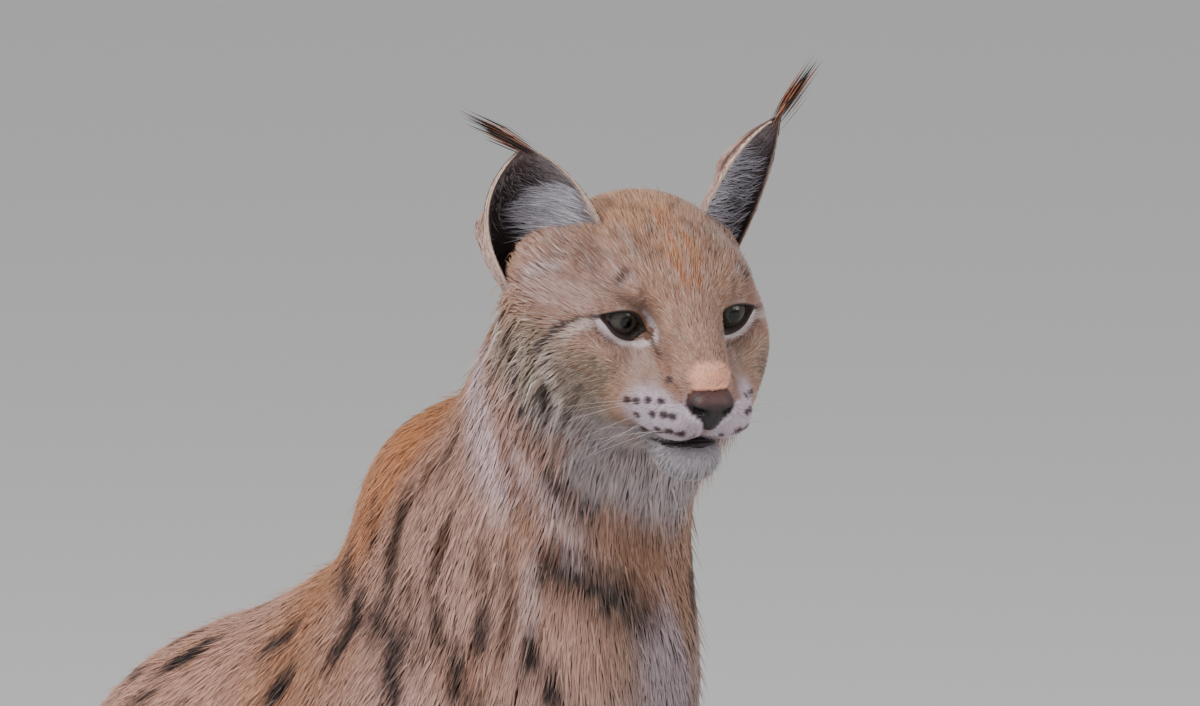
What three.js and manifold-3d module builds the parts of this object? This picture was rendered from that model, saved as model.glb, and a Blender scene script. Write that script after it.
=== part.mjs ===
// A life-size Eurasian lynx, sitting on its haunches with its head turned to its right, as a museum model.
// Millimetres. +X is the way the body faces, +Y is its left and +Z is up. The origin is on the floor,
// at the middle of the outline. Surfaces are the outside of the coat.
//
// The animal is one smooth field: rounded bones and muscles that melt into each other. Each node is
// that field drawn as a mesh inside its own block of space, so neighbours meet on flat cuts 0.3 mm apart.
import * as THREE from "three";
import { mergeVertices } from "three/addons/utils/BufferGeometryUtils.js";
import Module from "manifold-3d";

const wasm = await Module();
wasm.setup();

// Driving dimensions
const withersHeight = 630; // top of the coat over the shoulder blades, above the floor
const headTurn = -34.5; // degrees, to the animal's right
const headDip = 12; // degrees, nose down
const eyeMiddle = [229, -55, 706]; // halfway between the eyeballs' centres
const eyeSpacing = 64;
const eyeRadius = 13;
const lidThickness = 2.4;
const eyeWidth = 29; // corner to corner
const eyeHeight = 15;
const eyeSlant = 14; // degrees, outer corner up
const gazeOut = 9; // degrees, each eye outwards
const earThickness = 5;
const tuftLength = 46;
const ruffLength = 56;
const tailRadius = 25;
const cutGap = 0.3;

const radians = THREE.MathUtils.degToRad;
const sides = { left: 1, right: -1 };

// Fields: a negative value is inside. Every shape is a function of a point's three coordinates.

// The shortest way between two fields, rounded over the length `blend`.
function melt(a, b, blend) {
  const h = Math.max(blend - Math.abs(a - b), 0) / blend;
  return Math.min(a, b) - h * h * blend * 0.25;
}

// A bone with its muscle: a ball of radius r1 at a, one of r2 at b, and the cone between them.
function bone(a, b, r1, r2) {
  const ba = [b[0] - a[0], b[1] - a[1], b[2] - a[2]];
  const l2 = ba[0] ** 2 + ba[1] ** 2 + ba[2] ** 2;
  const rr = r1 - r2;
  const a2 = l2 - rr * rr;
  return (x, y, z) => {
    const px = x - a[0];
    const py = y - a[1];
    const pz = z - a[2];
    const along = px * ba[0] + py * ba[1] + pz * ba[2];
    const rest = along - l2;
    const cx = px * l2 - ba[0] * along;
    const cy = py * l2 - ba[1] * along;
    const cz = pz * l2 - ba[2] * along;
    const x2 = cx * cx + cy * cy + cz * cz;
    const y2 = along * along * l2;
    const z2 = rest * rest * l2;
    const k = Math.sign(rr) * rr * rr * x2;
    if (Math.sign(rest) * a2 * z2 > k) return Math.sqrt(x2 + z2) / l2 - r2;
    if (Math.sign(along) * a2 * y2 < k) return Math.sqrt(x2 + y2) / l2 - r1;
    return (Math.sqrt(x2 * a2 / l2) + along * rr) / l2 - r1;
  };
}

// A muscle or pad: an ellipsoid, tipped nose-down by `dip` and turned to the left by `turn` degrees.
function pad(centre, radii, dip = 0, turn = 0) {
  const cd = Math.cos(radians(dip));
  const sd = Math.sin(radians(dip));
  const ct = Math.cos(radians(turn));
  const st = Math.sin(radians(turn));
  return (x, y, z) => {
    const dx = x - centre[0];
    const dy = y - centre[1];
    const dz = z - centre[2];
    const fx = dx * ct + dy * st;
    const ly = dy * ct - dx * st;
    const gx = fx * cd - dz * sd;
    const gz = fx * sd + dz * cd;
    const ux = gx / radii[0];
    const uy = ly / radii[1];
    const uz = gz / radii[2];
    const k0 = Math.hypot(ux, uy, uz);
    const k1 = Math.hypot(ux / radii[0], uy / radii[1], uz / radii[2]);
    return k1 < 1e-9 ? -Math.min(...radii) : (k0 * (k0 - 1)) / k1;
  };
}

// All of a list of [field, blend] pairs, melted together in order.
function together(list) {
  return (x, y, z) => {
    let d = 1e6;
    for (const [field, blend] of list) d = melt(d, field(x, y, z), blend);
    return d;
  };
}

// The head's own frame: forward along the face, left and up, from halfway between the eyes.
const headMatrix = new THREE.Matrix4()
  .makeTranslation(...eyeMiddle)
  .multiply(new THREE.Matrix4().makeRotationZ(radians(headTurn)))
  .multiply(new THREE.Matrix4().makeRotationY(radians(headDip)));

function seenFrom(matrix, field) {
  const m = matrix.clone().invert().elements;
  return (x, y, z) =>
    field(
      m[0] * x + m[4] * y + m[8] * z + m[12],
      m[1] * x + m[5] * y + m[9] * z + m[13],
      m[2] * x + m[6] * y + m[10] * z + m[14],
    );
}

// The head, in its own frame. Paired forms are given once, on the left.
const paired = (field) => (x, y, z) => field(x, Math.abs(y), z);
const skull = together([
  [pad([-38, 0, 4], [60, 53, 49]), 1],
  [bone([0, 0, 13], [50, 0, -20], 21, 15), 26],
  [paired(pad([-2, 25, 20], [22, 20, 13], 10)), 14],
  [paired(pad([-12, 40, -22], [36, 22, 34])), 18],
  [paired(pad([-44, 36, -30], [38, 26, 39])), 24],
  [paired(bone([-24, 25, -50], [26, 6, -62], 20, 13)), 16],
  [paired(pad([-66, 46, -4], [20, 20, 26])), 16],
  [paired(pad([43, 14, -41], [24, 17.5, 15.5], 6)), 10],
  [pad([40, 0, -32], [27, 15, 17], 20), 10],
  [pad([38, 0, -70], [22, 18, 14], -6), 10],
]);
const eyeHollow = paired(pad([19, eyeSpacing / 2 + 2, -2], [13, 17, 11], 0, 14));
const face = (x, y, z) => -melt(-skull(x, y, z), eyeHollow(x, y, z), 8);

// The trunk and neck
const trunk = together([
  [pad([55, 0, 440], [118, 88, 122], 35), 1],
  [bone([45, 0, 455], [-72, 0, 382], 96, 108), 40],
  [bone([-72, 0, 382], [-166, 0, 302], 106, 110), 50],
  [pad([-228, 0, 150], [122, 114, 153], 18), 60],
  [pad([54, 0, withersHeight - 67], [60, 48, 69]), 26],
  [bone([100, 0, 540], [156, -9, 655], 86, 61), 40],
  [bone([156, -9, 655], [176, -14, 700], 61, 54), 36],
  [pad([118, 0, 470], [78, 72, 110]), 50],
]);

// The legs, from named joints. The right forepaw and hind foot stand a little further on than the left.
const stagger = { left: -8, right: 8 };
function jointsOf(side) {
  const s = sides[side];
  const step = stagger[side];
  return {
    shoulder: [82, s * 58, 455],
    elbow: [38, s * 78, 318],
    wrist: [98 + step, s * 60, 80],
    forepaw: [126 + step, s * 60, 26],
    hip: [-225, s * 62, 165],
    knee: [-66, s * 112, 200],
    hock: [-212 + step, s * 112, 27],
    foot: [-40 + step, s * 116, 22],
    toes: [-8 + step, s * 118, 20],
  };
}

// Four toes spread over the paw's width, the middle two ahead of the outer two.
function toesAt([x, y], width, length) {
  return [-1, -1 / 3, 1 / 3, 1].map((across) => {
    const tip = [x + length * (1 - 0.24 * across * across), y + across * width * 0.36, 12.5];
    const knuckle = [x + length * 0.45, y + across * width * 0.24, 24];
    return [bone(knuckle, tip, 14.5, 13.5), 7];
  });
}

function foreleg(side) {
  const j = jointsOf(side);
  return together([
    [pad([66, sides[side] * 66, 420], [52, 34, 92], -20), 1],
    [bone(j.shoulder, j.elbow, 52, 42), 26],
    [bone(j.elbow, j.wrist, 40, 26), 30],
    [bone(j.wrist, j.forepaw, 27, 25), 18],
    [pad([j.forepaw[0] + 4, j.forepaw[1], 18], [38, 35, 22]), 14],
    ...toesAt(j.forepaw, 70, 44),
  ]);
}

function hindLeg(side) {
  const j = jointsOf(side);
  return together([
    [bone(j.hip, j.knee, 88, 50), 1],
    [pad([-150, sides[side] * 92, 132], [112, 50, 92], -22), 40],
    [bone(j.knee, j.hock, 44, 25), 22],
    [bone(j.hock, j.foot, 25, 22), 14],
    [pad([j.toes[0] - 8, j.toes[1], 16], [42, 30, 20]), 14],
    ...toesAt([j.toes[0] - 6, j.toes[1]], 64, 42),
  ]);
}

// The tail lies on the floor and bends round to the right.
const tailWay = new THREE.CatmullRomCurve3([
  new THREE.Vector3(-310, 0, 92),
  new THREE.Vector3(-362, -12, 42),
  new THREE.Vector3(-382, -60, tailRadius - 1),
  new THREE.Vector3(-368, -116, tailRadius - 1),
  new THREE.Vector3(-338, -152, tailRadius - 1),
]);
const tailSteps = 8;
const tailLengths = Array.from({ length: tailSteps }, (_, i) => {
  const ends = [i / tailSteps, (i + 1) / tailSteps];
  const [a, b] = ends.map((t) => tailWay.getPointAt(t).toArray());
  const [ra, rb] = ends.map((t) => tailRadius * (1.12 - 0.12 * t));
  return [bone(a, b, ra, rb), 6];
});

const body = together([
  [trunk, 1],
  [foreleg("left"), 22],
  [foreleg("right"), 22],
  [hindLeg("left"), 26],
  [hindLeg("right"), 26],
  [together(tailLengths), 16],
]);
const headInBody = seenFrom(headMatrix, face);
const headStart = 540; // below this height the head plays no part
function whole(x, y, z) {
  const d = body(x, y, z);
  return z > headStart ? melt(d, headInBody(x, y, z), 30) : d;
}

// A surface is sound where every edge has one face on each side.
function isSound(faces) {
  const edges = new Set();
  for (const face of faces) {
    for (let m = 0; m < 3; m++) {
      const key = `${face[m]},${face[(m + 1) % 3]}`;
      if (edges.has(key)) return false;
      edges.add(key);
    }
  }
  return [...edges].every((key) => edges.has(key.split(",").reverse().join()));
}

// Draws a field as a closed mesh inside a box: one vertex in each cell that the surface passes through,
// and one quad across each grid edge that it crosses.
function drawn(field, low, high, step) {
  const { positions, faces } = net(field, low, high, step);
  if (!isSound(faces)) throw new Error("this surface is pinched");
  const geometry = new THREE.BufferGeometry();
  geometry.setAttribute("position", new THREE.Float32BufferAttribute(positions, 3));
  geometry.setIndex(faces.flat());
  return geometry;
}

// A lattice square whose opposite corners are inside, and the other two outside, would pinch the surface.
// The corner nearest to the surface changes its side there.
function unpinched(values, n, at, step) {
  for (let changes = 1; changes > 0; ) {
    changes = 0;
    for (let i = 0; i < n[0] - 1; i++) {
      for (let j = 0; j < n[1] - 1; j++) {
        for (let k = 0; k < n[2] - 1; k++) {
          const squares = [
            [at(i, j, k), at(i + 1, j, k), at(i + 1, j + 1, k), at(i, j + 1, k)],
            [at(i, j, k), at(i + 1, j, k), at(i + 1, j, k + 1), at(i, j, k + 1)],
            [at(i, j, k), at(i, j + 1, k), at(i, j + 1, k + 1), at(i, j, k + 1)],
          ];
          for (const square of squares) {
            const [a, b, c, d] = square.map((m) => values[m] < 0);
            if (a !== c || b !== d || a === b) continue;
            const nearest = square.reduce((m, o) => (Math.abs(values[o]) < Math.abs(values[m]) ? o : m));
            values[nearest] = (values[nearest] < 0 ? 0.02 : -0.02) * step;
            changes++;
          }
        }
      }
    }
  }
}

function net(field, low, high, step) {
  const n = low.map((v, i) => Math.ceil((high[i] - v) / step) + 1);
  const at = (i, j, k) => (i * n[1] + j) * n[2] + k;
  const values = new Float32Array(n[0] * n[1] * n[2]);
  for (let i = 0; i < n[0]; i++) {
    for (let j = 0; j < n[1]; j++) {
      for (let k = 0; k < n[2]; k++) {
        const rim = i === 0 || j === 0 || k === 0 || i === n[0] - 1 || j === n[1] - 1 || k === n[2] - 1;
        const d = field(low[0] + i * step, low[1] + j * step, low[2] + k * step);
        values[at(i, j, k)] = rim ? Math.max(d, step * 0.3) : d;
      }
    }
  }
  unpinched(values, n, at, step);
  const cellVertex = new Int32Array(values.length).fill(-1);
  const positions = [];
  const corners = [];
  for (let c = 0; c < 8; c++) corners.push([c & 1, (c >> 1) & 1, (c >> 2) & 1]);
  for (let i = 0; i < n[0] - 1; i++) {
    for (let j = 0; j < n[1] - 1; j++) {
      for (let k = 0; k < n[2] - 1; k++) {
        let count = 0;
        const sum = [0, 0, 0];
        for (let a = 0; a < 8; a++) {
          for (let axis = 0; axis < 3; axis++) {
            if (corners[a][axis]) continue;
            const b = a | (1 << axis);
            const va = values[at(i + corners[a][0], j + corners[a][1], k + corners[a][2])];
            const vb = values[at(i + corners[b][0], j + corners[b][1], k + corners[b][2])];
            if (va < 0 === vb < 0) continue;
            const t = va / (va - vb);
            for (let m = 0; m < 3; m++) sum[m] += corners[a][m] + (m === axis ? t : 0);
            count++;
          }
        }
        if (!count) continue;
        cellVertex[at(i, j, k)] = positions.length / 3;
        const place = [i, j, k].map((v, m) => low[m] + (v + sum[m] / count) * step);
        positions.push(...place);
      }
    }
  }
  const faces = [];
  const quad = (a, b, c, d, flip) => {
    if (flip) faces.push([a, c, b], [a, d, c]);
    else faces.push([a, b, c], [a, c, d]);
  };
  for (let i = 0; i < n[0] - 1; i++) {
    for (let j = 0; j < n[1] - 1; j++) {
      for (let k = 0; k < n[2] - 1; k++) {
        const v = values[at(i, j, k)] < 0;
        const cell = (a, b, c) => cellVertex[at(i - a, j - b, k - c)];
        const x = values[at(i + 1, j, k)] < 0;
        const y = values[at(i, j + 1, k)] < 0;
        const z = values[at(i, j, k + 1)] < 0;
        if (v !== x) quad(cell(0, 1, 1), cell(0, 0, 1), cell(0, 0, 0), cell(0, 1, 0), !v);
        if (v !== y) quad(cell(1, 0, 1), cell(1, 0, 0), cell(0, 0, 0), cell(0, 0, 1), !v);
        if (v !== z) quad(cell(1, 1, 0), cell(0, 1, 0), cell(0, 0, 0), cell(1, 0, 0), !v);
      }
    }
  }
  return { positions, faces };
}

// Geometry to solid and back
function solid(geometry) {
  const g = geometry.clone();
  g.deleteAttribute("normal");
  g.deleteAttribute("uv");
  const merged = mergeVertices(g, 1e-4);
  return new wasm.Manifold(
    new wasm.Mesh({
      numProp: 3,
      vertProperties: merged.attributes.position.array,
      triVerts: new Uint32Array(merged.index.array),
    }),
  );
}

// A cut leaves corners that nearly touch. Here they are set on a fine grid, and the slivers between
// them are left out; where that would pinch the surface, the next grid is tried.
const grids = [0.01, 0.02, 0.03, 0.05, 0.07];
function geometryOf(shape) {
  const mesh = shape.getMesh();
  for (const grid of grids) {
    const positions = [];
    const places = new Map();
    const corner = Array.from({ length: mesh.vertProperties.length / mesh.numProp }, (_, i) => {
      const start = i * mesh.numProp;
      const place = [0, 1, 2].map((m) => Math.round(mesh.vertProperties[start + m] / grid));
      const key = place.join();
      if (!places.has(key)) {
        places.set(key, places.size);
        positions.push(...place.map((v) => v * grid));
      }
      return places.get(key);
    });
    const faces = new Map();
    for (let i = 0; i < mesh.triVerts.length; i += 3) {
      const face = [0, 1, 2].map((m) => corner[mesh.triVerts[i + m]]);
      if (new Set(face).size < 3) continue;
      const key = [...face].sort((a, b) => a - b).join();
      if (faces.has(key)) faces.delete(key);
      else faces.set(key, face);
    }
    if (!isSound(faces.values())) continue;
    const geometry = new THREE.BufferGeometry();
    geometry.setAttribute("position", new THREE.Float32BufferAttribute(positions, 3));
    geometry.setIndex([...faces.values()].flat());
    return geometry;
  }
  throw new Error("no grid keeps this surface closed");
}

const biggest = (shape) => shape.decompose().reduce((a, b) => (b.volume() > a.volume() ? b : a));
// The largest closed surface of a shape, before and after its corners are set on the grid
const largest = (shape) => biggest(solid(geometryOf(biggest(shape))));
const joined = (shapes) => shapes.reduce((a, b) => a.add(b));
const without = (shape, others) => others.reduce((a, b) => a.subtract(b), shape);

// Keeps what lies behind a plane, given by a point and the direction that is cut away.
function trimmed(shape, [point, away], grow = 0) {
  const n = new THREE.Vector3(...away).normalize();
  return shape.trimByPlane(n.clone().negate().toArray(), -n.dot(new THREE.Vector3(...point)) - grow);
}

// A block of space: a box trimmed by planes, grown on all sides by `grow`.
function block({ low, high, planes = [] }, grow = 0) {
  const size = high.map((v, i) => v - low[i] + 2 * grow);
  const middle = high.map((v, i) => (v + low[i]) / 2);
  const box = new THREE.BoxGeometry(...size).translate(...middle);
  return planes.reduce((shape, plane) => trimmed(shape, plane, grow), solid(box));
}

// The skin inside a block, drawn a little larger than the block, and moved outwards by `grow`.
function skinIn({ low, high, step }, grow = 0) {
  const margin = 2.5 * step;
  const from = low.map((v) => v - margin);
  const to = high.map((v) => v + margin);
  return solid(drawn((x, y, z) => whole(x, y, z) - grow, from, to, step));
}

// The trunk and limbs, in the order in which they are parted: each takes what its block still holds.
const forPair = (make) => Object.keys(sides).map((side) => make(side, sides[side], jointsOf(side)));
const outward = (s, low, high) => (s > 0 ? [low, high] : [-high, -low]);
const napeInHead = [-52, 0, -52];
const nape = new THREE.Vector3(...napeInHead).applyMatrix4(headMatrix).toArray();
const neckAxis = [0.6, -0.36, 0.78]; // from the neck up into the head
const neckFoot = [104, 0, 566];
const neckLie = [0.3, 0, 0.95]; // from the chest up into the neck
const turnedBack = (v) => v.map((c) => -c);
const blocks = [
  ...forPair((side, s, j) => ({
    name: `forepaw_${side}`,
    step: 14,
    low: [j.wrist[0] - 70, outward(s, 0.3, 140)[0], 0],
    high: [j.forepaw[0] + 90, outward(s, 0.3, 140)[1], 72],
  })),
  ...forPair((side, s, j) => ({
    name: `forearm_${side}`,
    step: 23,
    low: [0, outward(s, 12, 150)[0], 72],
    high: [170, outward(s, 12, 150)[1], 330],
    planes: [[[j.elbow[0], 0, 300], [-0.25, 0, 1]]],
  })),
  ...forPair((side, s) => ({
    name: `shoulder_${side}`,
    step: 28,
    low: [-28, outward(s, 40, 200)[0], 250],
    high: [165, outward(s, 40, 200)[1], 520],
    planes: [
      [[60, s * 62, 440], [0, -s, 0.16]],
      [[-10, 0, 400], [-0.9, 0, 0.25]],
      [[125, 0, 420], [0.85, 0, 0.3]],
    ],
  })),
  ...forPair((side, s) => ({
    name: `hind_foot_${side}`,
    step: 15.5,
    low: [-262, outward(s, 76, 200)[0], 0],
    high: [80, outward(s, 76, 200)[1], 50],
  })),
  ...forPair((side, s, j) => ({
    name: `lower_leg_${side}`,
    step: 25,
    low: [-262, outward(s, 66, 220)[0], 50],
    high: [10, outward(s, 66, 220)[1], 270],
    planes: [[[j.knee[0] - 22, 0, j.knee[2] + 20], [-0.74, 0, 0.67]]],
  })),
  ...forPair((side, s) => ({
    name: `thigh_${side}`,
    step: 30,
    low: [-300, outward(s, 60, 220)[0], 0],
    high: [10, outward(s, 60, 220)[1], 270],
    planes: [[[-150, s * 72, 150], [0, -s, 0.1]]],
  })),
  { name: "tail_tip", step: 17, low: [-420, -200, 0], high: [-300, -106, 80] },
  { name: "tail", step: 17, low: [-430, -106, 0], high: [-322, 40, 92] },
  {
    name: "rump",
    step: 36,
    low: [-420, -180, 0],
    high: [0, 180, 420],
    planes: [[[-170, 0, 290], [0.62, 0, 0.78]]],
  },
  {
    name: "loin",
    step: 36,
    low: [-330, -180, 90],
    high: [60, 180, 560],
    planes: [[[-40, 0, 400], [0.86, 0, 0.42]]],
  },
  {
    name: "neck",
    step: 21,
    low: [-60, -140, 500],
    high: [280, 130, 790],
    planes: [[neckFoot, turnedBack(neckLie)], [nape, neckAxis]],
  },
  { name: "chest", step: 31, low: [-140, -170, 200], high: [260, 170, 640], planes: [[neckFoot, neckLie]] },
];

const parts = {};
const taken = [];
for (const space of blocks) {
  const own = block(space).intersect(skinIn(space));
  parts[space.name] = largest(without(own, taken));
  taken.push(block(space, cutGap));
}

// The head is drawn in its own frame, and joins, cuts and locks are made there.
const inHead = seenFrom(headMatrix.clone().invert(), whole);
const headStep = 9;
const headLow = [-128, -90, -112];
const headHigh = [84, 90, 76];
const headSkin = (grow) => solid(drawn((x, y, z) => inHead(x, y, z) - grow, headLow, headHigh, headStep));
const toHead = (shape) => shape.transform(headMatrix.clone().invert().toArray());
const fromHead = (shape) => shape.transform(headMatrix.toArray());
const neckSpace = blocks.find((space) => space.name === "neck");
const neckGuard = toHead(block(neckSpace, cutGap).intersect(skinIn(neckSpace, 3 * cutGap)));

// Where a straight line from inside the head comes out through its skin.
function skinPoint(from, toward) {
  const direction = new THREE.Vector3(...toward).sub(new THREE.Vector3(...from)).normalize();
  const point = new THREE.Vector3(...from);
  for (let i = 0; i < 200 && inHead(...point) < -0.02; i++) {
    point.addScaledVector(direction, Math.max(-inHead(...point) * 0.7, 0.05));
  }
  return point;
}

// A lock of long hair: a flat blade of diamond section that starts under the skin, bends and tapers.
// `lie` is the way it runs, `out` the side it faces, and `hang` bends its tip.
const lockRings = [
  [0, 0.85, 1],
  [0.42, 1, 0.85],
  [0.8, 0.55, 0.5],
];
function lock({ root, lie, out, hang, length, width, thickness, sunk = 5 }) {
  const start = root.clone().addScaledVector(out, -sunk);
  const middle = root.clone().addScaledVector(lie, length * 0.5).addScaledVector(out, thickness);
  const end = root.clone().addScaledVector(lie, length).add(hang);
  const way = new THREE.QuadraticBezierCurve3(start, middle, end);
  const positions = [];
  for (const [t, wide, thick] of lockRings) {
    const point = way.getPoint(t);
    const across = way.getTangent(t).cross(out).normalize();
    const face = across.clone().cross(way.getTangent(t)).normalize();
    const corners = [
      point.clone().addScaledVector(across, (wide * width) / 2),
      point.clone().addScaledVector(face, (thick * thickness) / 2),
      point.clone().addScaledVector(across, (-wide * width) / 2),
      point.clone().addScaledVector(face, (-thick * thickness) / 2),
    ];
    for (const corner of corners) positions.push(...corner);
  }
  positions.push(...end);
  const rings = lockRings.length;
  const index = [0, 2, 1, 0, 3, 2];
  for (let r = 0; r < rings; r++) {
    for (let c = 0; c < 4; c++) {
      const here = r * 4 + c;
      const next = r * 4 + ((c + 1) % 4);
      if (r === rings - 1) index.push(here, next, rings * 4);
      else index.push(here, next, next + 4, here, next + 4, here + 4);
    }
  }
  const geometry = new THREE.BufferGeometry();
  geometry.setAttribute("position", new THREE.Float32BufferAttribute(positions, 3));
  geometry.setIndex(index);
  const shape = solid(geometry);
  return shape.volume() > 0 ? shape : solid(turnedInsideOut(geometry));
}

function turnedInsideOut(geometry) {
  const index = geometry.index.array;
  for (let i = 0; i < index.length; i += 3) [index[i], index[i + 1]] = [index[i + 1], index[i]];
  return geometry;
}

// Eyes, and the lids round them: a shell on each eyeball, opened by an almond-shaped slit
const eyePlace = (s) =>
  new THREE.Matrix4()
    .makeTranslation(0, (s * eyeSpacing) / 2, 0)
    .multiply(new THREE.Matrix4().makeRotationZ(radians(s * gazeOut)));
const eyeball = (s, radius) => solid(new THREE.SphereGeometry(radius, 14, 9).applyMatrix4(eyePlace(s)));

function eyeSlit(s) {
  const half = eyeWidth / 2;
  const almond = new THREE.Shape();
  almond.moveTo(-half, 0);
  almond.quadraticCurveTo(0, -eyeHeight * 1.1, half, 0);
  almond.quadraticCurveTo(0, eyeHeight * 0.9, -half, 0);
  const prism = new THREE.ExtrudeGeometry(almond, { depth: 40, bevelEnabled: false, curveSegments: 6 });
  const turn = new THREE.Matrix4().makeBasis(
    new THREE.Vector3(0, 1, 0),
    new THREE.Vector3(0, 0, 1),
    new THREE.Vector3(1, 0, 0),
  );
  prism.applyMatrix4(new THREE.Matrix4().makeRotationZ(radians(s * eyeSlant)));
  prism.applyMatrix4(turn);
  return solid(prism.applyMatrix4(eyePlace(s)));
}

// The nose leather, with a nostril at each side
const nostrils = paired(bone([71, 5, -35], [63, 12, -33], 2.6, 2));
const leather = together([
  [paired(pad([59, 6, -31], [10.5, 9, 8])), 1],
  [pad([60, 0, -37], [9, 6, 9]), 5],
]);
const noseField = (x, y, z) => -melt(-leather(x, y, z), nostrils(x, y, z), 1);
const noseSolid = (field, step) => solid(drawn(field, [42, -24, -56], [80, 24, -12], step));

// The mouth runs back and down from under the nose; the jaw is the part of the head below it.
const mouthFront = [62, -53];
const mouthCorner = [20, -64];
const jawBack = 12;
const lipRadius = 2.3;
const lipSink = 1.8;
function mouthHeight(x) {
  const t = THREE.MathUtils.clamp((mouthFront[0] - x) / (mouthFront[0] - mouthCorner[0]), 0, 1.2);
  return mouthFront[1] + (mouthCorner[1] - mouthFront[1]) * (1.7 * t - 0.7 * t * t);
}

function jawSpace(grow) {
  const outline = new THREE.Shape();
  outline.moveTo(jawBack - 10 - grow, -125);
  outline.lineTo(110, -125);
  for (let x = 110; x > jawBack; x -= 7) outline.lineTo(x, mouthHeight(x) + grow);
  outline.lineTo(jawBack - grow, mouthHeight(jawBack) + grow);
  const prism = new THREE.ExtrudeGeometry(outline, { depth: 160, bevelEnabled: false });
  return solid(prism.rotateX(Math.PI / 2).translate(0, 80, 0));
}

function lip(rise) {
  const points = [];
  for (let angle = -84; angle <= 84; angle += 14) {
    const along = [Math.cos(radians(angle)), Math.sin(radians(angle))];
    let height = mouthFront[1];
    let point;
    for (let i = 0; i < 4; i++) {
      point = skinPoint([24, 0, height + rise], [24 + along[0], along[1], height + rise]);
      height = mouthHeight(point.x);
    }
    point.x -= along[0] * lipSink;
    point.y -= along[1] * lipSink;
    points.push(point.setZ(height + rise));
  }
  const section = new THREE.Shape().absarc(0, 0, lipRadius, 0, 2 * Math.PI);
  const options = { extrudePath: new THREE.CatmullRomCurve3(points), steps: 12, curveSegments: 2 };
  const tube = new THREE.ExtrudeGeometry(section, options);
  const shape = solid(tube);
  return shape.volume() > 0 ? shape : solid(turnedInsideOut(mergeVertices(tube)));
}

// The ears: cups between an inner and an outer rim that run from the head to the tip
const ears = {
  left: {
    inner: [[-34, 28, 32], [-38, 44, 78], [-48, 74, 91]],
    outer: [[-60, 58, -4], [-78, 93, 42], [-50, 79, 92]],
    tuft: [-4, 25, 38],
    back: [-0.9, -0.2, 0.05],
  },
  right: {
    inner: [[-34, -28, 32], [-36, -42, 76], [-49, -65, 84]],
    outer: [[-60, -58, -6], [-88, -92, 36], [-53, -70, 85]],
    tuft: [-16, -36, 19],
    back: [-0.93, -0.3, 0.05],
  },
};
const earRings = 7;
const earSides = 8;
const vector = (v) => new THREE.Vector3(...v);
function earCup({ inner, outer, back }) {
  const rims = [inner, outer].map((points) => new THREE.QuadraticBezierCurve3(...points.map(vector)));
  const behind = vector(back).normalize();
  const grid = [];
  for (const layer of [1, 0]) {
    for (let r = 0; r <= earRings; r++) {
      const [a, b] = rims.map((rim) => rim.getPoint(r / earRings));
      const middle = a.clone().lerp(b, 0.5);
      const half = a.clone().sub(middle);
      const thickness = earThickness * (1 - 0.45 * (r / earRings)) * layer;
      const depth = half.length() * (1.15 - 0.5 * (r / earRings));
      for (let c = 0; c <= earSides; c++) {
        const angle = (Math.PI * c) / earSides;
        const across = Math.cos(angle) * (1 + thickness / half.length());
        const point = middle.clone().addScaledVector(half, across);
        point.addScaledVector(behind, Math.sin(angle) * (depth + thickness));
        grid.push(...point);
      }
    }
  }
  const row = earSides + 1;
  const layerSize = row * (earRings + 1);
  const at = (layer, r, c) => layer * layerSize + r * row + c;
  const index = [];
  const quad = (a, b, c, d) => index.push(a, b, c, a, c, d);
  for (let r = 0; r < earRings; r++) {
    for (let c = 0; c < earSides; c++) {
      quad(at(0, r, c), at(0, r, c + 1), at(0, r + 1, c + 1), at(0, r + 1, c));
      quad(at(1, r, c), at(1, r + 1, c), at(1, r + 1, c + 1), at(1, r, c + 1));
    }
    quad(at(0, r, 0), at(0, r + 1, 0), at(1, r + 1, 0), at(1, r, 0));
    quad(at(0, r, earSides), at(1, r, earSides), at(1, r + 1, earSides), at(0, r + 1, earSides));
  }
  for (let c = 0; c < earSides; c++) {
    quad(at(0, 0, c), at(1, 0, c), at(1, 0, c + 1), at(0, 0, c + 1));
    quad(at(0, earRings, c), at(0, earRings, c + 1), at(1, earRings, c + 1), at(1, earRings, c));
  }
  const geometry = new THREE.BufferGeometry();
  geometry.setAttribute("position", new THREE.Float32BufferAttribute(grid, 3));
  geometry.setIndex(index);
  const shape = solid(geometry);
  return shape.volume() > 0 ? shape : solid(turnedInsideOut(geometry));
}

function earTuft({ inner, tuft, back }) {
  const root = vector(inner[2]);
  const lie = vector(tuft).normalize();
  const out = vector(back).normalize().negate();
  const side = lie.clone().cross(out).normalize();
  return [-1, 0, 1].map((turn) =>
    lock({
      root: root.clone().addScaledVector(lie, -7),
      lie: lie.clone().addScaledVector(side, turn * 0.1).normalize(),
      out,
      hang: side.clone().multiplyScalar(turn * 3),
      length: tuftLength * (1 - 0.14 * Math.abs(turn)),
      width: 8,
      thickness: 4.5,
      sunk: 1,
    }),
  );
}

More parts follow.
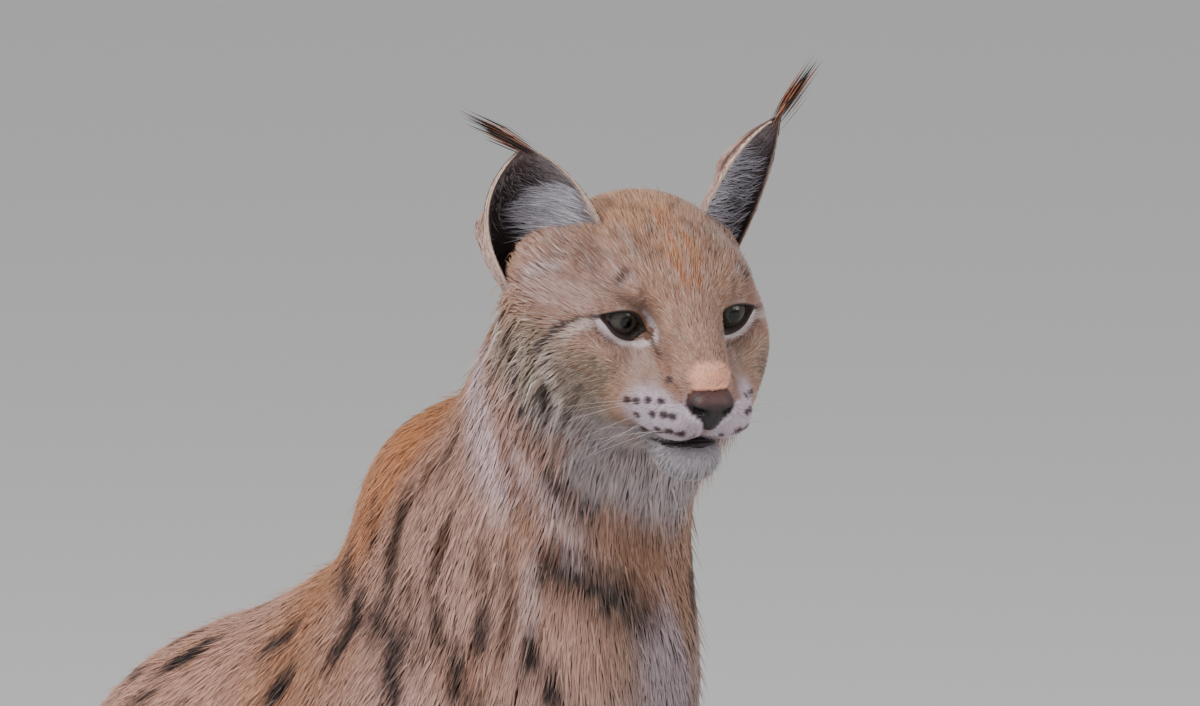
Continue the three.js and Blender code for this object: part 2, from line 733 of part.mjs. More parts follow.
// The ruff: rows of locks along the cheek's hind edge, from under the ear to below the jaw
const ruffCore = [-25, 0, -25];
const ruffRows = [
  { from: [-34, 58, -14], through: [-28, 58, -48], to: [-14, 22, -84], locks: 6, length: 0.86 },
  { from: [-50, 56, -4], through: [-46, 58, -46], to: [-30, 26, -86], locks: 7, length: 1 },
];
function ruff(s) {
  const locks = [];
  ruffRows.forEach(({ from, through, to, locks: count, length }, row) => {
    const way = new THREE.QuadraticBezierCurve3(vector(from), vector(through), vector(to));
    for (let i = 0; i < count; i++) {
      const t = (i + 0.5 * (row % 2)) / count;
      const target = way.getPoint(t);
      const root = skinPoint(ruffCore, target.setY(target.y * s).toArray());
      const out = root.clone().sub(vector(ruffCore)).normalize();
      const sway = Math.sin(row * 5 + i * 2.4);
      const lie = new THREE.Vector3(-0.6 + 0.5 * t, s * 0.24, -0.8 - 0.1 * t + 0.05 * sway).normalize();
      locks.push(
        lock({
          root,
          lie,
          out,
          hang: new THREE.Vector3(-1, -s * 6, -5),
          length: ruffLength * length * (0.78 + 0.22 * Math.sin(Math.PI * t)) * (1 + 0.1 * sway),
          width: 23 + 2 * sway,
          thickness: 6,
        }),
      );
    }
  });
  return locks;
}

// The head with its lids, lips and ruff, cleared of the neck, eyes and nose, and parted at the mouth
const pair = Object.values(sides);
const axisInHead = vector(neckAxis).transformDirection(headMatrix.clone().invert());
const headCore = trimmed(headSkin(0), [napeInHead, axisInHead.negate().toArray()], -cutGap);
const noseStep = 3.7;
const clearings = [
  neckGuard,
  ...pair.map((s) => eyeball(s, eyeRadius + cutGap)),
  ...pair.map(eyeSlit),
  noseSolid((x, y, z) => leather(x, y, z) - cutGap, noseStep),
];
const lids = pair.map((s) => eyeball(s, eyeRadius + cutGap + lidThickness));
const shavenHead = joined([headCore, ...lids, lip(lipRadius), lip(-lipRadius)]);
const fullHead = joined([shavenHead, ...pair.flatMap(ruff)]);
parts.head = fromHead(largest(without(fullHead, [...clearings, jawSpace(cutGap)])));
parts.lower_jaw = fromHead(largest(without(shavenHead, clearings).intersect(jawSpace(0))));
parts.nose = fromHead(largest(noseSolid(noseField, noseStep)));
const headGuard = headSkin(cutGap);
for (const [side, s] of Object.entries(sides)) {
  parts[`eye_${side}`] = fromHead(eyeball(s, eyeRadius));
  const ear = joined([earCup(ears[side]), ...earTuft(ears[side])]);
  parts[`ear_${side}`] = fromHead(largest(ear.subtract(headGuard)));
}

// Puts the finished nodes into one group, centred on the floor.
const coat = { color: 0xa97f5c, roughness: 0.9, metalness: 0 };
const looks = {
  nose: { color: 0x4a332c, roughness: 0.5, metalness: 0 },
  eye_left: { color: 0x4d4a3c, roughness: 0.08, metalness: 0 },
  eye_right: { color: 0x4d4a3c, roughness: 0.08, metalness: 0 },
  chest: { color: 0xcdb9a4, roughness: 0.9, metalness: 0 },
};
const lynx = new THREE.Group();
for (const [name, shape] of Object.entries(parts)) {
  const mesh = new THREE.Mesh(geometryOf(shape), new THREE.MeshStandardMaterial(looks[name] ?? coat));
  mesh.name = name;
  lynx.add(mesh);
}
const outline = new THREE.Box3().setFromObject(lynx);
const centre = outline.getCenter(new THREE.Vector3());
lynx.position.set(-Math.round(centre.x), -Math.round(centre.y), 0);

export default lynx;
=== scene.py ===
import math

import bpy
import numpy as np
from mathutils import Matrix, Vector


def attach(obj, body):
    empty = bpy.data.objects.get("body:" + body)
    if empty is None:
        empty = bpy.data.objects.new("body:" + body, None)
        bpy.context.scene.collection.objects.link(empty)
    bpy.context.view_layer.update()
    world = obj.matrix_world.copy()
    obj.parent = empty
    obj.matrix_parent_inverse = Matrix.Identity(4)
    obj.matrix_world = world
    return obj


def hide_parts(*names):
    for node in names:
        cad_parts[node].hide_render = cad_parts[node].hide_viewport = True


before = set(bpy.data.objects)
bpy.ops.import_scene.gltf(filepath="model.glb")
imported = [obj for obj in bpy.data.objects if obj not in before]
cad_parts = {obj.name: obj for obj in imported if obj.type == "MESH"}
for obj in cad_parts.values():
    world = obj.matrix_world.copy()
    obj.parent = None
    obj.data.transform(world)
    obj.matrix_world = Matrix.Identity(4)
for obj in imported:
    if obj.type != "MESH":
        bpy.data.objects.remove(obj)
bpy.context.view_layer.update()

rng = np.random.default_rng(11)
print("frame loaded:", len(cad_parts), "nodes")

place = {
    "shift": np.array([61.0, 7.0, 0.0]),  # from the animal's own frame to the frame of the solids
    "eyeMiddle": np.array([229.0, -55.0, 706.0]),
    "headTurn": -34.5,
    "headDip": 12.0,
}
turn, dip = math.radians(place["headTurn"]), math.radians(place["headDip"])
headRotation = np.array([
    [math.cos(turn), -math.sin(turn), 0],
    [math.sin(turn), math.cos(turn), 0],
    [0, 0, 1],
]) @ np.array([
    [math.cos(dip), 0, math.sin(dip)],
    [0, 1, 0],
    [-math.sin(dip), 0, math.cos(dip)],
])


def toHead(p):
    return (p - place["eyeMiddle"]) @ headRotation


def halfHead(p):
    # in the head's frame, with the right half folded onto the left one
    h = toHead(p)
    h[:, 1] = np.abs(h[:, 1])
    return h


def fromHead(h):
    return h @ headRotation.T + place["eyeMiddle"]


def inMetres(p):
    return (p + place["shift"]) * 0.001


def smooth(low, high, value):
    t = np.clip((value - low) / (high - low), 0, 1)
    return t * t * (3 - 2 * t)


def mix(a, b, share):
    return a + (b - a) * share


def unit(v):
    return v / np.maximum(np.linalg.norm(v, axis=-1, keepdims=True), 1e-9)


def bezier(points, t):
    a, b, c = [np.array(point, float) for point in points]
    t = np.asarray(t, float)[..., None]
    return a * (1 - t) ** 2 + 2 * b * t * (1 - t) + c * t * t


def catmull(points, t, closed=False):
    # a smooth line through the points, at places t from 0 to 1
    points = np.array(points, float)
    n = len(points)
    spans = n if closed else n - 1
    s = np.clip(np.asarray(t, float), 0, 1) * spans
    i = np.minimum(s.astype(int), spans - 1)
    f = (s - i)[..., None]
    around = [(i + k) % n if closed else np.clip(i + k, 0, n - 1) for k in (-1, 0, 1, 2)]
    a, b, c, d = [points[k] for k in around]
    bow = 2 * a - 5 * b + 4 * c - d
    return 0.5 * (2 * b + (c - a) * f + bow * f**2 + (3 * b - 3 * c + d - a) * f**3)


# Fields: negative inside, in millimetres
def melt(a, b, blend):
    h = np.maximum(blend - np.abs(a - b), 0) / blend
    return np.minimum(a, b) - h * h * blend * 0.25


def carved(a, b, blend):
    return -melt(-a, b, blend)


def bone(a, b, ra, rb):
    a, b = np.array(a, float), np.array(b, float)
    ba = b - a
    l2 = ba @ ba
    rr = ra - rb
    a2 = l2 - rr * rr

    def field(p):
        pa = p - a
        along = pa @ ba
        rest = along - l2
        cross = pa * l2 - along[:, None] * ba
        x2 = np.einsum("ij,ij->i", cross, cross)
        y2 = along * along * l2
        z2 = rest * rest * l2
        k = np.sign(rr) * rr * rr * x2
        d = (np.sqrt(x2 * a2 / l2) + along * rr) / l2 - ra
        d = np.where(np.sign(along) * a2 * y2 < k, np.sqrt(x2 + y2) / l2 - ra, d)
        return np.where(np.sign(rest) * a2 * z2 > k, np.sqrt(x2 + z2) / l2 - rb, d)

    return field


def pad(centre, radii, dip=0, turn=0):
    centre, radii = np.array(centre, float), np.array(radii, float)
    cd, sd = math.cos(math.radians(dip)), math.sin(math.radians(dip))
    ct, st = math.cos(math.radians(turn)), math.sin(math.radians(turn))

    def field(p):
        d = p - centre
        fx = d[:, 0] * ct + d[:, 1] * st
        ly = d[:, 1] * ct - d[:, 0] * st
        u = np.stack([fx * cd - d[:, 2] * sd, ly, fx * sd + d[:, 2] * cd], 1) / radii
        k0 = np.linalg.norm(u, axis=1)
        k1 = np.linalg.norm(u / radii, axis=1)
        return k0 * (k0 - 1) / np.maximum(k1, 1e-9)

    return field


def together(parts):
    def field(p):
        d = np.full(len(p), 1e6)
        for part, blend in parts:
            d = melt(d, part(p), blend)
        return d

    return field


def paired(field):
    return lambda p: field(p * [1, 0, 1] + np.abs(p) * [0, 1, 0])


eye = {"spacing": 64, "radius": 13.0, "turnOut": 9}
sides = {"left": 1, "right": -1}

skull = together([
    (pad([-38, 0, 4], [60, 53, 49]), 1),
    (bone([0, 0, 13], [50, 0, -20], 21, 15), 26),
    (paired(pad([-2, 25, 20], [22, 20, 13], 10)), 14),
    (paired(pad([-12, 40, -22], [36, 22, 34])), 18),
    (paired(pad([-44, 36, -30], [38, 26, 39])), 24),
    (paired(bone([-24, 25, -50], [26, 6, -62], 20, 13)), 16),
    (paired(pad([-66, 49, -1], [20, 20, 27])), 16),
    (paired(pad([43, 14, -41], [24, 17.5, 15.5], 6)), 10),
    (pad([40, 0, -32], [27, 15, 17], 20), 10),
    (pad([38, 0, -70], [22, 18, 14], -6), 10),
])
eyeHollow = paired(pad([19, eye["spacing"] / 2 + 2, -2], [13, 17, 11], 0, 14))
faceFill = together([  # full flesh from the inner corners of the eyes down to the muzzle
    (paired(bone([6, 19, -21], [32, 17, -36], 7, 12)), 1),
    (paired(pad([10, 32, -39], [26, 16, 17], 10)), 12),
])


def faceField(h):
    return carved(melt(skull(h), faceFill(h), 12), eyeHollow(h), 8)


trunk = together([
    (pad([55, 0, 440], [118, 88, 122], 35), 1),
    (bone([45, 0, 455], [-72, 0, 382], 96, 108), 40),
    (bone([-72, 0, 382], [-166, 0, 302], 106, 110), 50),
    (pad([-228, 0, 150], [122, 114, 153], 18), 60),
    (pad([54, 0, 563], [60, 48, 69]), 26),
    (bone([100, 0, 540], [156, -9, 655], 86, 61), 40),
    (bone([156, -9, 655], [176, -14, 700], 61, 54), 36),
    (pad([118, 0, 470], [78, 72, 110]), 50),
])

step = {1: -8, -1: 8}  # the right paws stand a little further on


def jointsOf(s):
    return {
        "shoulder": (82, s * 58, 455),
        "elbow": (38, s * 78, 318),
        "wrist": (98 + step[s], s * 60, 80),
        "forepaw": (126 + step[s], s * 60, 26),
        "hip": (-225, s * 62, 165),
        "knee": (-66, s * 112, 200),
        "hock": (-212 + step[s], s * 112, 27),
        "foot": (-40 + step[s], s * 116, 22),
        "toes": (-8 + step[s], s * 118, 20),
    }


def toesAt(x, y, width, length):
    # knuckle and tip of each toe, the middle two ahead of the outer two
    return [
        (
            (x + length * 0.45, y + across * width * 0.24, 24),
            (x + length * (1 - 0.24 * across * across), y + across * width * 0.36, 12.5),
        )
        for across in (-1, -1 / 3, 1 / 3, 1)
    ]


def pawToes(s, paw):
    j = jointsOf(s)
    if paw == "fore":
        return toesAt(j["forepaw"][0], j["forepaw"][1], 70, 44)
    return toesAt(j["toes"][0] - 6, j["toes"][1], 64, 42)


def foreleg(s):
    j = jointsOf(s)
    return together([
        (pad([66, s * 66, 420], [52, 34, 92], -20), 1),
        (bone(j["shoulder"], j["elbow"], 52, 42), 26),
        (bone(j["elbow"], j["wrist"], 40, 26), 30),
        (bone(j["wrist"], j["forepaw"], 27, 25), 18),
        (pad([j["forepaw"][0] + 4, j["forepaw"][1], 18], [38, 35, 22]), 14),
        *[(bone(knuckle, tip, 14.5, 13.5), 7) for knuckle, tip in pawToes(s, "fore")],
    ])


def hindLeg(s):
    j = jointsOf(s)
    return together([
        (bone(j["hip"], j["knee"], 88, 50), 1),
        (pad([-150, s * 92, 132], [112, 50, 92], -22), 40),
        (bone(j["knee"], j["hock"], 44, 25), 22),
        (bone(j["hock"], j["foot"], 25, 22), 14),
        (pad([j["toes"][0] - 8, j["toes"][1], 16], [42, 30, 20]), 14),
        *[(bone(knuckle, tip, 14.5, 13.5), 7) for knuckle, tip in pawToes(s, "hind")],
    ])


tail = {
    "way": [(-310, 0, 92), (-362, -12, 42), (-382, -60, 24), (-368, -116, 24), (-338, -152, 24)],
    "radius": 25,
    "steps": 8,
}
tailPoints = catmull(tail["way"], np.linspace(0, 1, tail["steps"] + 1))
tailRadii = tail["radius"] * np.linspace(1.12, 1, tail["steps"] + 1)
tailField = together([
    (bone(tailPoints[i], tailPoints[i + 1], tailRadii[i], tailRadii[i + 1]), 6) for i in range(tail["steps"])
])
bodyField = together([
    (trunk, 1),
    (foreleg(1), 22),
    (foreleg(-1), 22),
    (hindLeg(1), 26),
    (hindLeg(-1), 26),
    (tailField, 16),
])
headStart = 540


def wholeField(p):
    d = bodyField(p)
    high = p[:, 2] > headStart
    if high.any():
        d[high] = melt(d[high], faceField(toHead(p[high])), 30)
    return d


# How thick the coat is over the skin
coat = {
    "body": 9, "low": 4.5, "cheek": 6, "brow": 3.2, "muzzle": 1.6,
    "nape": np.array([-52, 0, -52]), "neckAxis": np.array([0.6, -0.36, 0.78]),
    # the skin, the ear cups and the eyelids are painted darker than the coat over them: painted shade under
    # the hair
    "skinPaintedShade": 0.94, "barePaintedShade": 0.8,
}
napePoint = fromHead(coat["nape"])
mouth = {"front": (62, -53.5), "corner": (20, -64), "width": 0.8, "deep": 3.5}


def mouthHeight(x):
    t = np.clip((mouth["front"][0] - x) / (mouth["front"][0] - mouth["corner"][0]), 0, 1.2)
    return mouth["front"][1] + (mouth["corner"][1] - mouth["front"][1]) * (1.7 * t - 0.7 * t * t)


def headShare(p):
    return smooth(-30, 22, (p - napePoint) @ coat["neckAxis"])


def coatDepth(p):
    h = toHead(p)
    body = mix(coat["low"], coat["body"], smooth(30, 230, p[:, 2]))
    head = mix(coat["cheek"], coat["brow"], smooth(-45, 5, h[:, 0]))
    head = mix(head, coat["muzzle"], smooth(5, 40, h[:, 0]))
    return mix(body, head, headShare(p))


eyeCentres = {s: np.array([0, s * eye["spacing"] / 2, 0.0]) for s in (1, -1)}


def slopeOf(field, p, reach=0.6):
    corners = np.array([[1, -1, -1], [-1, -1, 1], [-1, 1, -1], [1, 1, 1]], float)
    g = np.zeros_like(p)
    for corner in corners:
        g += corner * field(p + corner * reach)[:, None]
    return g / (4 * reach)


def settled(field, p, rounds=2):
    for _ in range(rounds):
        g = slopeOf(field, p)
        g2 = np.maximum(np.einsum("ij,ij->i", g, g), 0.05)
        p = p - g * (np.clip(field(p), -6, 6) / g2)[:, None]
    return p


# Draws a field's surface: one vertex in each cell that it passes through, one quad across each crossed edge
def gradedAxis(low, high, fineLow, fineHigh, coarse, fine):
    return np.concatenate([
        np.arange(low, fineLow, coarse), np.arange(fineLow, fineHigh, fine),
        np.arange(fineHigh, high + coarse, coarse),
    ])


def drawSurface(field, axes, scout=12):
    lows = [axis[0] for axis in axes]
    scoutAxes = [np.arange(axis[0], axis[-1] + scout, scout) for axis in axes]
    grid = np.stack(np.meshgrid(*scoutAxes, indexing="ij"), -1).reshape(-1, 3)
    rough = field(grid).reshape([len(axis) for axis in scoutAxes])
    nearest = [np.rint((axis - low) / scout).astype(int) for axis, low in zip(axes, lows)]
    values = rough[np.ix_(*nearest)]
    band = np.nonzero(np.abs(values) < scout * 0.87 + 7)
    values[band] = field(np.stack([axis[i] for axis, i in zip(axes, band)], 1))
    inside = values < 0
    n = [len(axis) - 1 for axis in axes]
    corners = [(a, b, c) for a in (0, 1) for b in (0, 1) for c in (0, 1)]
    count = np.zeros(n, np.uint8)
    for a, b, c in corners:
        count += inside[a:a + n[0], b:b + n[1], c:c + n[2]]
    cells = np.nonzero((count > 0) & (count < 8))
    base = np.stack([axis[i] for axis, i in zip(axes, cells)], 1)
    size = np.stack([axis[i + 1] - axis[i] for axis, i in zip(axes, cells)], 1)
    at = {corner: values[tuple(i + k for i, k in zip(cells, corner))] for corner in corners}
    total = np.zeros_like(base)
    hits = np.zeros(len(base))
    for corner in corners:
        for axis in range(3):
            if corner[axis]:
                continue
            other = tuple(1 if k == axis else v for k, v in enumerate(corner))
            va, vb = at[corner], at[other]
            crossed = (va < 0) != (vb < 0)
            t = np.where(crossed, va / np.where(crossed, va - vb, 1), 0)
            spot = np.array(corner, float)[None].repeat(len(t), 0)
            spot[:, axis] = t
            total += spot * crossed[:, None]
            hits += crossed
    points = base + size * total / hits[:, None]
    index = np.full(n, -1, np.int32)
    index[cells] = np.arange(len(points))
    quads = []
    for axis in range(3):
        near = [slice(1, v) for v in n]
        near[axis] = slice(0, n[axis])
        far = list(near)
        far[axis] = slice(1, n[axis] + 1)
        a, b = inside[tuple(near)], inside[tuple(far)]
        crossing = np.nonzero(a != b)
        cell = [crossing[k] + (0 if k == axis else 1) for k in range(3)]
        u, v = (axis + 1) % 3, (axis + 2) % 3
        ring = []
        for du, dv in ((1, 1), (0, 1), (0, 0), (1, 0)):
            corner = list(cell)
            corner[u] = cell[u] - du
            corner[v] = cell[v] - dv
            ring.append(index[tuple(corner)])
        ring = np.stack(ring, 1)
        outward = a[crossing]
        ring[~outward] = ring[~outward][:, ::-1]
        quads.append(ring)
    return points, np.concatenate(quads)


def newObject(name, data):
    obj = bpy.data.objects.new(name, data)
    bpy.context.scene.collection.objects.link(obj)
    return obj


def turnedFrom(obj, location, back):
    # placed, and looking away from the direction that points back
    obj.location = location
    obj.rotation_mode = "QUATERNION"
    obj.rotation_quaternion = Vector(back).to_track_quat("Z", "Y")


def addMesh(name, points, faces, checked=True):
    # points in millimetres of the animal's frame; faces is one array, or several with rows of any length
    groups = faces if isinstance(faces, list) else [faces]
    mesh = bpy.data.meshes.new(name)
    mesh.vertices.add(len(points))
    mesh.vertices.foreach_set("co", inMetres(points).astype(np.float32).ravel())
    loops = np.concatenate([group.ravel() for group in groups]).astype(np.int32)
    lengths = np.concatenate([np.full(len(group), group.shape[1]) for group in groups])
    mesh.loops.add(len(loops))
    mesh.loops.foreach_set("vertex_index", loops)
    mesh.polygons.add(len(lengths))
    starts = np.concatenate([[0], np.cumsum(lengths)[:-1]]).astype(np.int32)
    mesh.polygons.foreach_set("loop_start", starts)
    mesh.polygons.foreach_set("use_smooth", np.ones(len(lengths), bool))
    mesh.update(calc_edges=True)
    if checked:
        mesh.validate()
    return newObject(name, mesh)


def dress(obj, colours, finish, slot, *nodes):
    # a piece's paint and finish, and the solids that it takes the place of; its slot is not used
    if colours is not None:
        layer = obj.data.color_attributes.new("coatColour", "FLOAT_COLOR", "POINT")
        rgba = np.concatenate([colours, np.ones((len(colours), 1))], 1)
        layer.data.foreach_set("color", rgba.astype(np.float32).ravel())
    obj.data.materials.append(finish)
    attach(obj, "root")
    if nodes:
        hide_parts(*nodes)


def setMap(obj, name, uv):
    # uv holds one pair for each vertex
    loops = np.zeros(len(obj.data.loops), np.int32)
    obj.data.loops.foreach_get("vertex_index", loops)
    layer = obj.data.uv_layers.new(name=name)
    layer.data.foreach_set("uv", uv[loops].astype(np.float32).ravel())


# The camera stands where the photograph was taken from
view = {
    "azimuth": 32.0, "elevation": 8.0, "distance": 5000.0, "pixelsPerMm": 1.82,
    "point": np.array([239.5, -61.5, 703.0]), "pixel": (681.0, 319.5), "frame": (1200, 706),
    "sensor": 36, "clipEnd": 60, "nearest": 4400.0, "steps": 90, "stepShare": 0.85, "stepRange": (-4, 60),
}
a, e = math.radians(view["azimuth"]), math.radians(view["elevation"])
viewBack = np.array([math.sin(a) * math.cos(e), -math.cos(a) * math.cos(e), math.sin(e)])
viewRight = np.array([math.cos(a), math.sin(a), 0])
viewUp = np.array([-math.sin(a) * math.sin(e), math.cos(a) * math.sin(e), math.cos(e)])
focal = view["pixelsPerMm"] * view["distance"]
middle = (view["frame"][0] / 2, view["frame"][1] / 2)
eyePoint = (
    view["point"]
    - viewRight * (view["pixel"][0] - middle[0]) / view["pixelsPerMm"]
    - viewUp * (middle[1] - view["pixel"][1]) / view["pixelsPerMm"]
    + viewBack * view["distance"]
)


def seenAt(pixels, field):
    # where the lines of sight through these pixels of the photograph meet the field's surface
    pixels = np.array(pixels, float)
    ray = unit(
        -viewBack * focal
        + viewRight * (pixels[:, :1] - middle[0])
        + viewUp * (middle[1] - pixels[:, 1:])
    )
    t = np.full(len(ray), view["nearest"])
    for _ in range(view["steps"]):
        t = t + np.clip(field(eyePoint + ray * t[:, None]), *view["stepRange"]) * view["stepShare"]
    return eyePoint + ray * t[:, None]


camera = newObject("camera", bpy.data.cameras.new("camera"))
turnedFrom(camera, inMetres(eyePoint), viewBack)
camera.data.sensor_width = view["sensor"]
camera.data.lens = view["sensor"] * focal / view["frame"][0]
camera.data.clip_end = view["clipEnd"]
bpy.context.scene.camera = camera

# The opening of each eye, in degrees outwards and up from its line of gaze, as seen from the eyeball's middle
lids = {
    "opening": [(51, 10), (32, 20), (9, 25), (-13, 24), (-32, 14), (-45, -4), (-51, -20), (-39, -30),
                (-24, -40), (-5, -38), (15, -28), (33, -11)],
    "middle": (-5, -5),
    "reach": [84, 76, 70, 70, 68, 72, 80, 76, 78, 80, 82, 84],
    "thick": 2.0, "spokes": 96, "cut": 5, "rim": 0.9, "tint": (52, 40, 38), "over": 0.45, "farthest": 30,
    "hairFrom": 2.2, "hairTo": 12,
}
openingLine = catmull(lids["opening"], np.linspace(0, 1, 240), closed=True)
openingOff = openingLine - np.array(lids["middle"])
openingTurn = np.arctan2(openingOff[:, 1], openingOff[:, 0])
openingOrder = np.argsort(openingTurn)
openingReach = np.linalg.norm(openingOff, axis=1)


def eyeAngles(h, s):
    # a point of the head's frame as degrees outwards and up, and its distance, seen from an eyeball's middle
    d = h - eyeCentres[s]
    g = math.radians(s * eye["turnOut"])
    forward = d[:, 0] * math.cos(g) + d[:, 1] * math.sin(g)
    outward = (d[:, 1] * math.cos(g) - d[:, 0] * math.sin(g)) * s
    r = np.linalg.norm(d, axis=1)
    off = np.degrees(np.arccos(np.clip(forward / np.maximum(r, 1e-6), -1, 1)))
    across = np.hypot(outward, d[:, 2])
    return np.stack([off * outward, off * d[:, 2]], 1) / np.maximum(across, 1e-6)[:, None], r


def eyeDirection(angles, s):
    angles = np.array(angles, float)
    off = np.linalg.norm(angles, axis=1)
    flat = angles / np.maximum(off, 1e-6)[:, None]
    off = np.radians(off)
    g = math.radians(s * eye["turnOut"])
    forward, outward, up = np.cos(off), np.sin(off) * flat[:, 0] * s, np.sin(off) * flat[:, 1]
    return np.stack([
        forward * math.cos(g) - outward * math.sin(g), forward * math.sin(g) + outward * math.cos(g), up
    ], 1)


def pastOpening(angles):
    # degrees beyond the edge of the opening, less than nothing inside it
    off = angles - np.array(lids["middle"])
    turned = np.arctan2(off[:, 1], off[:, 0])
    edge = np.interp(turned, openingTurn[openingOrder], openingReach[openingOrder], period=2 * math.pi)
    return np.linalg.norm(off, axis=1) - edge


def coveredField(p):
    # the skin before the mouth and the eyes are opened
    d = wholeField(p) + coatDepth(p)
    near = headShare(p) > 0.5
    if near.any():
        ball = np.linalg.norm(halfHead(p[near]) - eyeCentres[1], axis=1) - eye["radius"] - lids["thick"]
        d[near] = melt(d[near], ball, 7)
    return carved(d, p[:, 2] - 2.5, 8)


def skinField(p):
    d = coveredField(p)
    near = headShare(p) > 0.5
    if near.any():
        h = halfHead(p[near])
        f = d[near]
        slit = np.abs(h[:, 2] - mouthHeight(h[:, 0])) - mouth["width"]
        slit = np.maximum(slit, -f - mouth["deep"])
        slit = np.maximum(slit, mouth["corner"][0] - 3 - h[:, 0])
        f = carved(f, slit, 2.5)
        angles, r = eyeAngles(h, 1)
        socket = np.maximum((pastOpening(angles) - lids["cut"]) * math.pi / 180 * r, r - 24)
        d[near] = carved(f, socket, 0.8)
    return d


def shownField(p):
    # where the coat shows: at the hair's height on the body, at the skin on the head
    return coveredField(p) - coatDepth(p) * (1 - headShare(p))


# The cells of the skin: their size on the body and round the head, and where each of the two begins and ends
skinCells = {
    "body": 5.0, "low": (-412, -178, -8), "high": (300, 178, 802),
    "head": 2.0, "headLow": (112, -150, 592), "headHigh": (322, 50, 800),
}
spans = zip(*[skinCells[key] for key in ("low", "high", "headLow", "headHigh")])
axes = [gradedAxis(*span, skinCells["body"], skinCells["head"]) for span in spans]
skinPoints, skinQuads = drawSurface(skinField, axes)
skinPoints = settled(skinField, skinPoints)
skinNormals = unit(slopeOf(skinField, skinPoints))
print("skin drawn:", len(skinPoints), "points,", len(skinQuads), "quads")


# Colours: the tones are those of daylight on the animal, and the paint is what gives them in the studio
paint = {"dark": 0.81, "rich": 0.9}


def tone(r, g, b):
    c = np.array([r, g, b]) / 255
    linear = np.where(c <= 0.04045, c / 12.92, ((c + 0.055) / 1.055) ** 2.4)
    grey = linear @ np.array([0.3, 0.59, 0.11])
    return np.maximum(grey * paint["dark"] + (linear - grey) * paint["rich"], 0.003)


def cloud(p, size, seed=0):
    # soft noise with lumps of about this size, from -1 to 1
    q = p / size + seed * 17.3
    i = np.floor(q).astype(np.int64)
    f = q - i
    f = f * f * (3 - 2 * f)
    total = np.zeros(len(p))
    for corner in np.ndindex(2, 2, 2):
        c = i + np.array(corner)
        n = (c[:, 0] * 73856093) ^ (c[:, 1] * 19349663) ^ (c[:, 2] * 83492791) ^ (seed * 9176543)
        n = ((n ^ (n >> 13)) * 1274126177) & 0x7FFFFFFF
        value = ((n ^ (n >> 15)) & 65535) / 32767.5 - 1
        total += value * np.prod(np.where(np.array(corner) > 0, f, 1 - f), axis=1)
    return total


def tinted(colours, tint, share):
    return mix(colours, tone(*tint), np.asarray(share)[:, None])


def within(values, spans):
    # how far each point lies inside all of the spans, each from none to all of it
    share = 1.0
    for key, low, high in spans:
        share = share * smooth(low, high, values[key])
    return share


def addPatches(colours, values, patches):
    for tint, strength, *spans in patches.values():
        colours = tinted(colours, tint, within(values, spans) * strength)
    return colours


# Tones of the head and the body: tint, strength, and the spans over which it comes in
foreheadTone, shoulderTone = (168, 130, 110), (176, 140, 128)
headPatches = {
    "side": ((154, 122, 112), 1, ("y", 20, 44), ("z", -24, 0)),
    "crown": ((178, 134, 106), 1, ("z", 22, 46), ("x", -8, -34)),
    "nape": ((180, 138, 114), 1, ("x", -56, -84)),
    "cheek": ((140, 122, 108), 1, ("z", -8, -28), ("y", 22, 42), ("x", 34, 14)),
    "underEye": ((164, 136, 126), 1, ("z", -6, -16), ("y", 40, 28), ("x", 0, 12)),
    "cheekDark": ((84, 70, 64), 0.6, ("z", -12, -32), ("y", 24, 42), ("x", 24, 0), ("streak", 0.05, 0.6)),
    "cheekPale": (
        (196, 180, 172), 0.55, ("z", -12, -32), ("y", 24, 42), ("x", 24, 0), ("streak", -0.05, -0.6)
    ),
    "bridge": ((164, 128, 112), 1, ("y", 19, 12), ("x", 8, 22), ("z", -34, -24)),
    "ruff": ((168, 158, 160), 1, ("z", -48, -66), ("x", 26, 6)),
    "muzzle": ((200, 184, 194), 1, ("x", 25, 40), ("z", -25, -33), ("besideNose", 8, 14)),
    "chin": ((156, 150, 154), 1, ("z", -54, -60), ("x", 6, 22)),
}
bodyPatches = {
    "flank": ((172, 120, 88), 1, ("x", 80, -50)),
    "back": ((184, 126, 88), 1, ("facingBack", 0.15, 0.85), ("y", 90, 20)),
    "rear": ((200, 156, 140), 0.85, ("x", 0, -60)),
    # the chest's reddish and grey-mauve tones are painted darker than its pale fur: partly its own colour,
    # partly painted shade
    "chest": ((146, 116, 100), 1, ("facingAhead", 0.35, 0.85), ("z", 620, 540), ("y", 70, 35)),
    "lowChest": ((140, 124, 128), 1, ("facingAhead", 0.3, 0.8), ("z", 520, 450), ("y", 60, 25)),
    "leg": ((168, 128, 98), 1, ("z", 330, 230), ("x", 22, 50)),
    "belly": ((192, 174, 160), 1, ("facingUp", 0.05, -0.5), ("z", 430, 330), ("z", 20, 60)),
    "legInside": ((186, 166, 150), 0.85, ("facingIn", 0.2, 0.7), ("z", 380, 300)),
    "tailTip": ((40, 34, 36), 1, ("tipAway", 64, 52)),
}


def headColour(h):
    x, y, z = h.T
    streak = cloud(h * [1, 1, 0.2], 6, 31)
    values = {"x": x, "y": y, "z": z, "streak": streak, "besideNose": y + (z < -34) * 9}
    return addPatches(np.tile(tone(*foreheadTone), (len(h), 1)), values, headPatches)


def bodyColour(p, n):
    x, y, z = p.T
    values = {
        "x": x, "y": np.abs(y), "z": z, "facingAhead": n[:, 0], "facingUp": n[:, 2],
        "facingIn": -n[:, 1] * np.sign(y), "facingBack": n @ np.array([-0.5, 0, 0.87]),
        "tipAway": np.linalg.norm(p - tailPoints[-1], axis=1) + cloud(p, 12, 5) * 4,
    }
    return addPatches(np.tile(tone(*shoulderTone), (len(p), 1)), values, bodyPatches)
